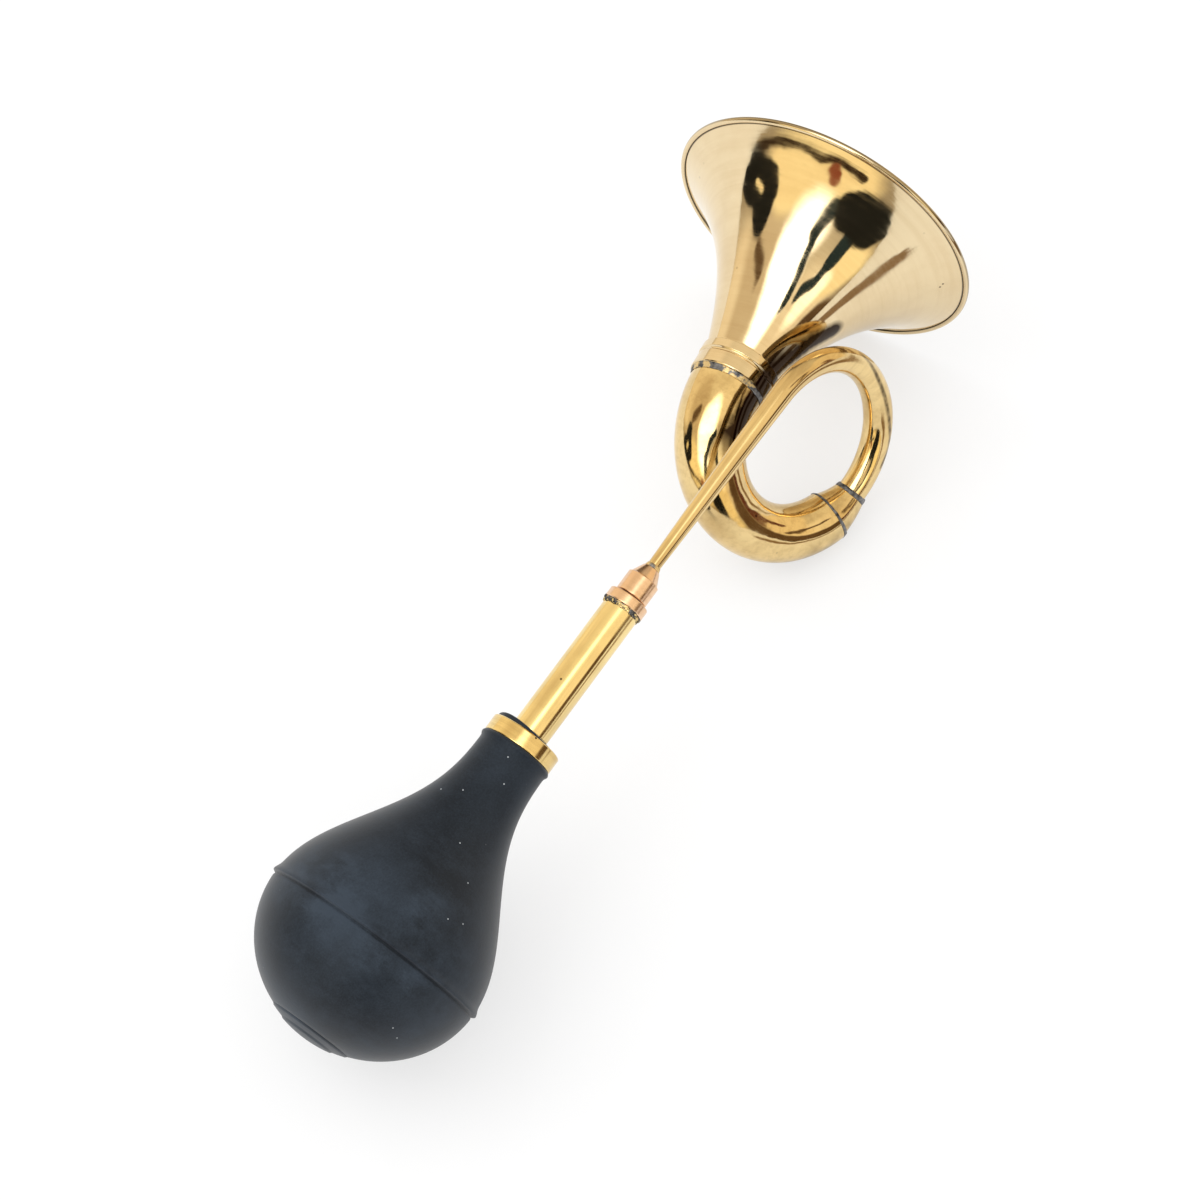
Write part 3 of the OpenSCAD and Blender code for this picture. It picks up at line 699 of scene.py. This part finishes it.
# %% Give the bulb's outline as formulas
fit = 0.05
bulb_r, bulb_wall, base_depth, shoulder_power = 42.0, 3.0, 39.2, 1.4
ridge_h, steep_w, gentle_w, crease_depth = 1.0, 0.5, 2.0, 0.3
collar_r, collar_wall, turned_edge = 13.7, 0.9, 0.3
barrel_r, tail_step, tail_len, neck_mouth, neck_growth = 7.0, 0.3, 20.0, 4.0, 0.5
plug_r, plug_boss_r, plug_step, stopper_r = 15.8, 10.7, 0.36, 8.0
neck_out_r = collar_r - turned_edge
neck_band_r = collar_r - collar_wall - fit
tail_r = barrel_r - tail_step
neck_bore = tail_r + fit
pinch_h, pinch_w = 0.7, 1.0
tail_x = lip_x - tail_len
neck_x = tail_x + neck_mouth


def dome(radius):
    """Depth of the rounded end at a radius."""
    return base_depth * math.sqrt(1 - (radius / bulb_r) ** 2)


def wall_radius(x):
    """Outside of the bulb without its seam."""
    if x < 0:
        return bulb_r * math.sqrt(max(0, 1 - (x / base_depth) ** 2))
    swell = (1 + math.cos(math.pi * x / shoulder_len)) / 2
    return neck_out_r + (bulb_r - neck_out_r) * swell ** shoulder_power


def seamed_radius(x):
    """Outside of the bulb with its seam, a crease behind that, and the bead that the collar squeezes out."""
    ridge = ridge_h * math.exp(-(x / (gentle_w if x > 0 else steep_w)) ** 2)
    pinched = pinch_h * math.exp(-((x + pinch_w - collar_x) / pinch_w) ** 2)
    return wall_radius(x) + ridge + pinched - crease_depth * math.exp(-((x + 2 * steep_w) / steep_w) ** 2)


def bore_radius(x):
    """Inside of the bulb: the wall thickens towards the neck."""
    if x < 0:
        return (bulb_r - bulb_wall) * math.sqrt(max(0, 1 - (x / (base_depth - bulb_wall)) ** 2))
    return max(neck_bore, wall_radius(x) - bulb_wall * (1 + neck_growth * x / shoulder_len))


seat_x = dome(plug_r)
seat_in = (base_depth - bulb_wall) * math.sqrt(1 - ((stopper_r + fit) / (bulb_r - bulb_wall)) ** 2)
print("bulb wall", round(wall_radius(0) - bore_radius(0), 2), "mm at the seam")

# %% Spin the bulb
lip_rise, lip_drop, lip_power = 1.9, 1.7, 3
seam_reach, pinch_reach, bulb_sides = 4.5, 4.0, 160
pinch_x = collar_x - pinch_reach
lip_half = lip_len / 2
outside = (steps_between(-seat_x, -seam_reach, 40)[:-1] + steps_between(-seam_reach, seam_reach, 40)[:-1]
           + steps_between(seam_reach, pinch_x, 50)[:-1] + steps_between(pinch_x, collar_x, 14))
lip_round = [(lip_x - lip_half + lip_half * math.sin(math.radians(a)),
              neck_band_r - lip_half + lip_half * math.cos(math.radians(a))) for a in range(0, 91, 15)]
bulb_outline = ([(-seat_x, stopper_r + fit)] + [(x, seamed_radius(x)) for x in outside]
                + [(collar_x, neck_band_r)] + lip_round + [(lip_x, neck_bore), (neck_x, neck_bore)]
                + [(x, bore_radius(x)) for x in steps_between(neck_x, -seat_in, 60)])
bulb_mesh = spun(bulb_outline, horn, bulb_sides)

# The rubber's lip stands up on one side of the collar and lies low on the other
to_own = horn.inverted()
for point in bulb_mesh.verts:
    spot = to_own @ point.co / MM
    if spot.x > collar_end:
        raised = max(0.0, 1 + spot.y / neck_band_r) / 2
        point.co += stem_way * (lip_rise * raised ** lip_power - lip_drop) * MM
bulb = piece("bulb", bulb_mesh)
fit_out(bulb, rubber, None, "rubber", "bulb_shoulder", "bulb_base")
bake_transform(bulb)
print("bulb faces:", len(bulb.data.polygons))

# %% [markdown]
# ## The disc on the bulb's end
# The hole through which the bulb was moulded is closed by a rubber disc with a raised middle. It follows the
# roundness of the end, so its outline repeats the dome, lifted by one step and then by two.

# %% Spin the disc
step_slope, disc_bevel = 0.7, 0.2
disc_outline = ([(-seat_in, 0), (-seat_in, stopper_r), (-seat_x, stopper_r), (-seat_x, plug_r)]
                + [(-dome(r) - plug_step, r) for r in steps_between(plug_r - step_slope, plug_boss_r, 8)]
                + [(-dome(r) - 2 * plug_step, r) for r in steps_between(plug_boss_r - step_slope, 0, 10)])
disc = crisp(piece("bulb_disc", spun(disc_outline, horn)), disc_bevel)
fit_out(disc, rubber, "bulb_end", "rubber", "bulb_plug")
print("disc radius", plug_r, "mm")

# %% [markdown]
# ## Collar, barrel and flange
# These are lathe work in brass: a collar that clamps the rubber neck, a plain tube for the reed and a flange
# with the thread. Each outline has only its few true corners. A small bevel on every corner catches the
# light, as the broken edges of turned brass do.

# %% Turn the collar, the barrel and the flange
collar_chamfer, barrel_wall, flange_r, thread_r = 0.4, 0.8, 7.8, 5.2
turned_bevel, turned_corner, barrel_bevel = 0.12, 20, 0.03
bore_r = barrel_r - barrel_wall
barrel_end = flange_x - solder_len

collar = crisp(piece("collar", spun([
    (collar_x, neck_band_r + fit), (collar_x, collar_r - collar_chamfer),
    (collar_x + collar_chamfer, collar_r), (collar_end - collar_chamfer, collar_r),
    (collar_end, collar_r - collar_chamfer), (collar_end, neck_band_r + fit)], horn)),
    turned_bevel, turned_corner)
fit_out(collar, collar_brass, "bulb_neck", "polished_brass", "bulb_collar")

barrel = crisp(piece("barrel_tube", spun([
    (tail_x, bore_r), (tail_x, tail_r), (lip_x, tail_r), (lip_x, barrel_r), (barrel_end, barrel_r),
    (barrel_end, tail_r), (flange_x, tail_r), (flange_x, bore_r)], horn)), barrel_bevel)
fit_out(barrel, barrel_brass, "barrel", "polished_brass", "barrel")

flange = crisp(piece("flange", spun([
    (flange_x, thread_r + fit), (flange_x, flange_r - turned_edge), (flange_x + turned_edge, flange_r),
    (washer_x - turned_edge, flange_r), (washer_x, flange_r - turned_edge), (washer_x, thread_r + fit)],
    horn)), turned_bevel, turned_corner)
fit_out(flange, coupling_brass, "barrel", "warm_brass", "barrel_ring")
print("barrel", round(barrel_end - lip_x, 1), "mm bare")

# %% [markdown]
# ## Coupling and washer
# The coupling screws into the flange: a threaded end, a plain body and a cone that holds the stem. The thread
# shows only when the barrel is unscrewed, so rings of the thread's shape in the outline are enough.

# %% Turn the coupling and its washer
coupling_r, cone_wall, tube_r0, thread_over, stem_depth = 6.2, 0.9, 2.4, 2.5, 5.0
thread_pitch, thread_depth, passage_r, stub_r, seat_depth = 1.25, 0.45, 1.5, 3.8, 5.0
coupling_bevel, coupling_corner, washer_bevel = 0.1, 15, 0.1
stem_bore = tube_r0 + fit
cone_r = stem_bore + cone_wall
thread_x = flange_x - thread_over
thread_rings = int((body_x - thread_x) / thread_pitch)
thread_outline = []
for turn in range(thread_rings):
    root = thread_x + turn * thread_pitch
    thread_outline += [(root, thread_r - thread_depth), (root + thread_pitch / 2, thread_r)]
coupling_outline = (
    [(thread_x + seat_depth, passage_r), (thread_x + seat_depth, stub_r + fit), (thread_x, stub_r + fit)]
    + thread_outline
    + [(body_x, thread_r - thread_depth), (body_x, coupling_r - turned_edge),
       (body_x + turned_edge, coupling_r), (cone_x, coupling_r),
       (cone_x + turned_edge, coupling_r - 2 * turned_edge), (stem_x, cone_r), (stem_x, stem_bore),
       (stem_x - stem_depth, stem_bore), (stem_x - stem_depth, passage_r)])
coupling = crisp(piece("coupling_nipple", spun(coupling_outline, horn)), coupling_bevel, coupling_corner)
fit_out(coupling, coupling_brass, "trumpet", "warm_brass", "coupling")

washer = crisp(piece("washer", spun([
    (washer_x, thread_r + fit), (washer_x, coupling_r - turned_edge), (body_x, coupling_r - turned_edge),
    (body_x, thread_r + fit)], horn)), washer_bevel)
fit_out(washer, leather, "washer", "leather", "seal_washer")
print("thread rings:", thread_rings)

# %% [markdown]
# ## Stem, coil and crook
# The stem is a thin cone of tube that bends into the coil. Half-way round a sleeve joins it to the wide
# crook, which goes on widening to the bell. All three follow the same middle line, so one function makes them
# from stations of angle and radius.

# %% Sweep the tubes
tube_r1, tube_r2, tube_wall, full_turn = 4.2, 5.6, 0.6, 115.0
sleeve_turn, sleeve_len, sleeve_nose_r, sleeve_r = 176.0, 11.5, 6.4, 9.8
crook_r0, crook_r1, crook_wall, crook_sides = 10.2, 14.3, 0.9, 72
tube_bevel, crook_bevel, tube_corner = 0.1, 0.2, 50
sleeve_end = sleeve_turn + turn_of(sleeve_len)
stem_turn = -turn_of(stem_len)


def tube_radius(turn):
    """Outside of the stem and of the coil's thin half."""
    if turn < 0:
        return mixed(tube_r1, tube_r0, max(0.0, turn / stem_turn))
    return mixed(tube_r1, tube_r2, min(1.0, turn / full_turn))


def sleeve_radius(turn):
    """Outside of the sleeve, a cone from the tube to the crook."""
    return mixed(sleeve_nose_r, sleeve_r, (turn - sleeve_turn) / (sleeve_end - sleeve_turn))


def crook_radius(turn):
    """Outside of the coil's wide half."""
    return mixed(crook_r0, crook_r1, (turn - sleeve_end) / (360 - sleeve_end))


def tube_shell(turns, radius, wall):
    """Stations of a tube: out along its skin and back along its bore."""
    return [(t, radius(t)) for t in turns] + [(t, radius(t) - wall) for t in reversed(turns)]


stem_turns = steps_between(stem_turn - turn_of(stem_depth), 0, 24)[:-1] + steps_between(0, sleeve_turn, 90)
stem_mesh = swept(tube_shell(stem_turns, tube_radius, tube_wall))
stem = crisp(piece("stem_and_coil", stem_mesh), tube_bevel, tube_corner)
fit_out(stem, stem_brass, "trumpet", "polished_brass", "lead_tube")

sleeve_turns = steps_between(sleeve_turn, sleeve_end, 16)
sleeve_shell = ([(turn, sleeve_radius(turn)) for turn in sleeve_turns]
                + [(turn, tube_r2 - tube_wall) for turn in reversed(sleeve_turns)])
sleeve = crisp(piece("sleeve", swept(sleeve_shell, crook_sides)), crook_bevel, tube_corner)
fit_out(sleeve, tube_brass, "trumpet", "polished_brass", "crook_sleeve")

crook_turns = steps_between(sleeve_end, 360, 90)
crook_mesh = swept(tube_shell(crook_turns, crook_radius, crook_wall), crook_sides)
crook = crisp(piece("crook", crook_mesh), crook_bevel, tube_corner)
fit_out(crook, tube_brass, "trumpet", "polished_brass", "large_crook")
print("sleeve from", sleeve_turn, "to", round(sleeve_end, 1), "degrees")

# %% [markdown]
# ## Bell and ferrule
# The bell was spun from sheet over a former, and its edge is rolled round a wire. Its outline widens steadily
# and then flares as an exponential curve does. The rolled edge is a second ring at the end of the sheet, and
# the painted shade above draws the fine dark line of its fold. The ferrule that joins the bell to the crook is
# turned, with a band, a groove and a bead.

# %% Spin the bell
rim_r, bell_len, neck_r, bell_taper, flare_len = 61.0, 66.6, 14.6, 0.2, 25.0
bell_wall, hem_r, bell_tail, ferrule_len = 0.8, 1.1, 5.0, 11.0
bell_bevel, bell_corner, bell_sides = 0.1, 60, 192
flare_r = rim_r - hem_r
flare_tail = math.exp(-bell_len / flare_len)
flare_gain = (flare_r - neck_r - bell_taper * bell_len) / (1 - flare_tail)
mouth_x = ferrule_len + bell_len


def bell_radius(back):
    """Outside of the bell at a distance back from its mouth."""
    return neck_r + bell_taper * (bell_len - back) + flare_gain * (math.exp(-back / flare_len) - flare_tail)


def bell_inside(back):
    """Inside of the bell, one wall below the outside along its slope."""
    slope = bell_taper + flare_gain / flare_len * math.exp(-back / flare_len)
    return bell_radius(back) - bell_wall * math.sqrt(1 + slope * slope)


backs = steps_between(0, bell_len, 90)
bell_outline = ([(mouth_x - back, bell_radius(back)) for back in backs]
                + [(ferrule_len - bell_tail, neck_r), (ferrule_len - bell_tail, neck_r - bell_wall)]
                + [(mouth_x - back, bell_inside(back)) for back in reversed(backs)])
hem_outline = [(mouth_x + hem_r * math.cos(math.radians(a)), flare_r + hem_r * math.sin(math.radians(a)))
               for a in range(0, 360, 15)]
bell_mesh = spun(bell_outline, bell_place, bell_sides)
hem = bpy.data.meshes.new("hem")
hem_mesh = spun(hem_outline, bell_place, bell_sides)
hem_mesh.to_mesh(hem)
hem_mesh.free()
bell_mesh.from_mesh(hem)
bpy.data.meshes.remove(hem)
bell = crisp(piece("bell_and_hem", bell_mesh), bell_bevel, bell_corner)
fit_out(bell, bell_brass, "trumpet", "polished_brass", "bell")
print("bell from", round(bell_radius(bell_len), 1), "to", round(flare_r + hem_r, 1), "mm radius")

# %% Turn the ferrule
ferrule_wall, band_len, groove_w, bead_h, ferrule_edge = 0.9, 6.0, 0.8, 0.3, 0.4
ferrule_r = neck_r + fit + ferrule_wall
band = ferrule_r - ferrule_edge
ferrule = crisp(piece("ferrule", spun([
    (0, crook_r1 - crook_wall), (0, band), (ferrule_edge, ferrule_r), (band_len - ferrule_edge, ferrule_r),
    (band_len, band), (band_len + groove_w, band), (band_len + groove_w + ferrule_edge, ferrule_r + bead_h),
    (ferrule_len - ferrule_edge, ferrule_r + bead_h), (ferrule_len, band), (ferrule_len, neck_r + fit),
    (ferrule_len - bell_tail, neck_r + fit), (ferrule_len - bell_tail, crook_r1 - crook_wall)],
    bell_place)), turned_bevel, turned_corner)
fit_out(ferrule, bell_brass, "trumpet", "polished_brass", "neck_ferrule")
print("ferrule", ferrule_len, "mm long")

# %% [markdown]
# ## Solder
# The joints were closed with a soldering iron, which leaves a grey line that is never even. Each line is a
# thin ring made as its tube is, then pushed in and out by noise so that it blobs and thins.

# %% Roughen a ring of solder
def lumpy(bm, size, depth):
    """Moves every point along its normal by smooth noise."""
    bm.normal_update()
    for point in bm.verts:
        point.co += point.normal * noise.noise(point.co / (size * MM)) * depth * MM
    return bm


def fillet(first, last, count, skin, root):
    """Stations of a solder ring between two turns: its skin out, its root back."""
    turns = steps_between(first, last, count)
    return ([(t, skin((t - first) / (last - first))) for t in turns]
            + [(t, root(t) + fit) for t in reversed(turns)])


# %% Lay the solder on the coil
solder_edge, joint_len, sleeve_line_len = 0.2, 2.0, 1.28
neck_sides, sleeve_sides = 120, 96
neck_lumps, nose_lumps, sleeve_lumps = (2.4, 0.28), (1.6, 0.25), (2.0, 0.2)


def neck_skin(share):
    return mixed(crook_r1 + solder_edge, band, share)


def nose_skin(share):
    return mixed(tube_r2, sleeve_nose_r, math.sqrt(share)) + solder_edge * (1 - share)


def sleeve_skin(share):
    return mixed(sleeve_r, crook_r0 + solder_edge / 2, math.sqrt(share))


neck_ring = swept(fillet(360 - turn_of(solder_len), 360, 6, neck_skin, crook_radius), neck_sides)
neck_line = piece("neck_solder_line", lumpy(neck_ring, *neck_lumps))
fit_out(neck_line, worn_solder, "trumpet", "solder", "neck_solder")

nose_ring = swept(fillet(sleeve_turn - turn_of(joint_len), sleeve_turn, 10, nose_skin, tube_radius),
                  sleeve_sides)
nose_line = piece("nose_solder_line", lumpy(nose_ring, *nose_lumps))
fit_out(nose_line, solder, "trumpet", "solder", "sleeve_solder")

sleeve_ring = swept(fillet(sleeve_end - turn_of(sleeve_line_len), sleeve_end, 6, sleeve_skin, sleeve_radius),
                    sleeve_sides)
sleeve_line = piece("sleeve_solder_line", lumpy(sleeve_ring, *sleeve_lumps))
fit_out(sleeve_line, solder, "trumpet", "solder")
print("solder on the coil:", neck_line.name, nose_line.name, sleeve_line.name)

# %% Lay the solder on the stem and the barrel
stem_sides, crumb_sides = 64, 200
stem_lumps, big_crumbs, small_crumbs = (1.5, 0.08), (1.6, 0.8), (0.7, 0.5)
stem_ring = spun([
    (stem_x, stem_bore), (stem_x, cone_r - solder_edge), (stem_x + solder_len, stem_bore + solder_edge),
    (stem_x + solder_len, stem_bore)], horn, stem_sides)
stem_line = piece("stem_solder_line", lumpy(stem_ring, *stem_lumps))
fit_out(stem_line, last_solder, "trumpet", "solder", "stem_solder")

crumb_outline = ([(x, mixed(barrel_r + solder_edge, flange_r - turned_edge, (x - barrel_end) / solder_len))
                  for x in steps_between(barrel_end, flange_x, 8)]
                 + [(flange_x, tail_r + fit), (barrel_end, tail_r + fit)])
crumb_ring = lumpy(lumpy(spun(crumb_outline, horn, crumb_sides), *big_crumbs), *small_crumbs)
flange_line = piece("flange_solder_line", crumb_ring)
fit_out(flange_line, crumbled_solder, "barrel", "solder", "barrel_solder")
print("solder on the stem and the barrel:", stem_line.name, flange_line.name)

# %% [markdown]
# ## The reed and the wire
# These sit inside the barrel and inside the rim, where nobody sees them unless the horn is taken apart. Their
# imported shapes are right, so they stay and only get a finish.

# %% Dress the hidden pieces
hidden = {"reed_plug": reed_brass, "shallot": reed_brass, "reed_clamp": reed_brass, "reed_tongue": reed_brass,
          "reed_screws": steel, "rim_wire": steel}
for name, finish in hidden.items():
    for slot in frame["nodes"][name].material_slots:
        slot.link = "OBJECT"
        slot.material = finish
print("dressed packed pieces:", ", ".join(hidden))

# %% [markdown]
# ## The table
# The horn lies on a plain white table. A bright floor that is only lit would need so much light that the
# brass burns out, so the table gives the camera most of its white by itself and keeps a share of the real
# shadow. In the photograph the bell mirrors a brown strip low on its right. Only mirrored rays see that strip
# here, and the picture itself stays white.

# %% Lay the table
floor_size, floor_glow, mirror_glow = 3.0, 0.63, 0.32
strip_from, strip_to = Vector((0.085, -0.297, 0)), Vector((0.6, -0.297, 0))
strip_half, strip_soft, strip_grain, paper_grain = 0.095, 0.014, 30, 40
strip_brown, soft_white, clear_white = (0.20, 0.12, 0.06), (0.87, 0.87, 0.87), (0.90, 0.90, 0.90)


def white_table(name):
    """White that glows a little by itself, with a brown strip that only mirrored rays see."""
    finish = Finish(name, Roughness=0.7)
    where = finish.place()
    rays = finish.add("LightPath").outputs
    wavy = finish.between(finish.cloud(where, strip_grain, 4.0, 0.7), 0.3, 0.7, -strip_soft, strip_soft)
    off = finish.math("ADD", finish.from_line(where, strip_from, strip_to), wavy)
    on_strip = finish.between(off, strip_half, strip_half + strip_soft, 1.0, 0.0)
    strip = finish.math("MULTIPLY", on_strip, rays["Is Glossy Ray"])
    paper = finish.blend(finish.cloud(where, paper_grain, 3.0), soft_white, clear_white)
    finish.give(Base_Color=finish.blend(strip, paper, strip_brown))
    seen = finish.math("MULTIPLY", rays["Is Camera Ray"], floor_glow)
    mirrored = finish.math("MULTIPLY", finish.math("SUBTRACT", rays["Is Glossy Ray"], strip), mirror_glow)
    glow = finish.add("Emission", {"Color": (1, 1, 1, 1), "Strength": 1.0})
    finish.surface("Material Output", finish.math("MAXIMUM", seen, mirrored),
                   finish.shader.outputs["BSDF"], glow.outputs["Emission"])
    return finish.material


floor_mesh = bmesh.new()
bmesh.ops.create_grid(floor_mesh, x_segments=1, y_segments=1, size=floor_size)
floor = piece("table", floor_mesh)
floor.data.materials.append(white_table("white_table"))
print("table", 2 * floor_size, "m wide")

# %% [markdown]
# ## The room
# Polished brass has hardly any colour of its own: it shows the room. The photograph's bell mirrors a bright
# ceiling above the camera, paler walls, and a few dark things near the table's edge. The world repeats that
# room with cards of light and shade, each given by compass angles, heights and a reach in degrees. Only
# mirrored rays see the cards. Everything else is lit by a soft even sky, which keeps the render quick, and
# the camera itself sees plain white.

# %% Cut cards of light and shade
world = bpy.data.worlds.new("room")
bpy.context.scene.world = world
world.use_nodes = True
room = Nodes(world.node_tree)

# Noise bends every direction a little, so that the cards get uneven edges
wander_reach, wander_grain, wander_detail, wander_rough = 0.07, 3.0, 7.0, 0.64
straight = room.add("TexCoord").outputs["Generated"]
wander = room.add("TexNoise", {"Vector": straight, "Scale": wander_grain, "Detail": wander_detail,
                               "Roughness": wander_rough}).outputs["Color"]
wander = room.vector("MULTIPLY", room.vector("SUBTRACT", wander, (0.5, 0.5, 0.5)), (wander_reach,) * 3)
look = room.vector("NORMALIZE", room.vector("ADD", straight, wander))


def compass(turn, height):
    """Direction with a compass angle and a height, both in degrees."""
    a, h = math.radians(turn), math.radians(height)
    return Vector((math.cos(a) * math.cos(h), math.sin(a) * math.cos(h), math.sin(h)))


def card(under, colour, reach, soft, *way):
    """Lays a card over the room along a way of (angle, height): full inside its reach, gone beyond soft."""
    full, gone = [2 * math.sin(math.radians(a) / 2) for a in (reach, reach + soft)]
    ends = [compass(*point) for point in way]
    for first, last in zip(ends, ends[1:] or ends):
        distance = room.from_line(look, first, last)
        under = room.blend(room.between(distance, full, gone, 1.0, 0.0, "SMOOTHSTEP"), under, colour)
    return under


wall, ceiling, white, glare = (0.46, 0.39, 0.28), (1.0, 0.88, 0.66), (3.6, 3.6, 3.5), (2.0, 1.9, 1.6)
cream, warm, honey, amber = (1.12, 0.98, 0.74), (1.3, 1.1, 0.66), (0.80, 0.66, 0.46), (1.05, 0.86, 0.56)
brown, umber, dusk = (0.15, 0.09, 0.045), (0.05, 0.03, 0.016), (0.15, 0.11, 0.07)
red, ember, slate, dark = (0.35, 0.10, 0.05), (0.15, 0.05, 0.03), (0.028, 0.045, 0.05), (0.018, 0.018, 0.016)

# Colour, reach, softness and the way of each card, from the back of the room to the front
cards = [
    (dusk, 12, 14, (-10, 8), (45, 8)),
    (cream, 25, 16, (90, 28)),
    (cream, 25, 16, (-88, 38)),
    (honey, 18, 18, (122, 45)),
    (warm, 13, 8, (160, 20), (-168, 17)),
    (warm, 11, 8, (-118, 14)),
    (white, 9, 14, (-172, 43), (178, 58), (-140, 70)),
    (glare, 7, 8, (-108, 30)),
    (amber, 15, 9, (-52, 12), (-25, 18)),
    (brown, 9, 5, (-90, 3), (-82, 6)),
    (ember, 3.0, 1.4, (-67, 3), (-50, 3), (-43, 13)),
    (brown, 1.8, 1.8, (-66, 14), (-58, 26), (-67, 41)),
    (umber, 1.2, 1.2, (140, 0), (157, 6), (175, 12), (-164, 8)),
    (red, 2.6, 1.2, (-177, 15), (-174, 18)),
    (slate, 4.0, 1.5, (-163, 27), (-160, 42)),
    (slate, 2.8, 1.4, (-160, 42), (-143, 53), (-117, 55)),
    (slate, 5.0, 1.5, (-138, 20), (-125, 28)),
    (slate, 3.2, 1.4, (-125, 28), (-115, 34), (-115, 43)),
    (dark, 10, 2.5, (-152, 19), (-139, 8)),
    (dark, 9.5, 2, (133, 4), (140, 16), (132, 20)),
    (brown, 2.2, 3, (123, 32), (126, 48)),
    (warm, 1.0, 1.2, (135, 9), (137, 14)),
]
print("cards:", len(cards))

# %% Hang the cards and light the horn
# Heights are given as the sine of their angle
wall_top, ceiling_from, sky_top = 0.2, 0.9, 0.9
low_sky, high_sky, plain_white = (0.66, 0.66, 0.66), (1.26, 1.26, 1.26), (1.0, 1.0, 1.0)
rise = room.parts(look)["Z"]
mirrored_room = room.blend(room.between(rise, wall_top, ceiling_from), wall, ceiling)
for colour, reach, soft, *way in cards:
    mirrored_room = card(mirrored_room, colour, reach, soft, *way)

rays = room.add("LightPath").outputs
sky = room.blend(room.between(rise, 0.0, sky_top), low_sky, high_sky)
sky = room.blend(rays["Is Camera Ray"], sky, plain_white)
sky_light, card_light = [room.add("Background", {"Color": colour}).outputs["Background"]
                         for colour in (sky, mirrored_room)]
room.surface("World Output", rays["Is Glossy Ray"], sky_light, card_light)


def lamp(name, turn, height, distance, size, power):
    """A soft square lamp at a direction and distance that faces the horn."""
    data = bpy.data.lights.new(name, "AREA")
    data.size = size
    data.energy = power
    made = bpy.data.objects.new(name, data)
    made.location = compass(turn, height) * distance
    made.rotation_euler = (-made.location).to_track_quat("-Z", "Y").to_euler()
    made.visible_glossy = False
    bpy.context.collection.objects.link(made)
    return made


window = lamp("window", turn=110, height=55, distance=2.0, size=1.6, power=12)
bpy.context.scene.view_settings.view_transform = "Standard"
print("lamp:", window.name)
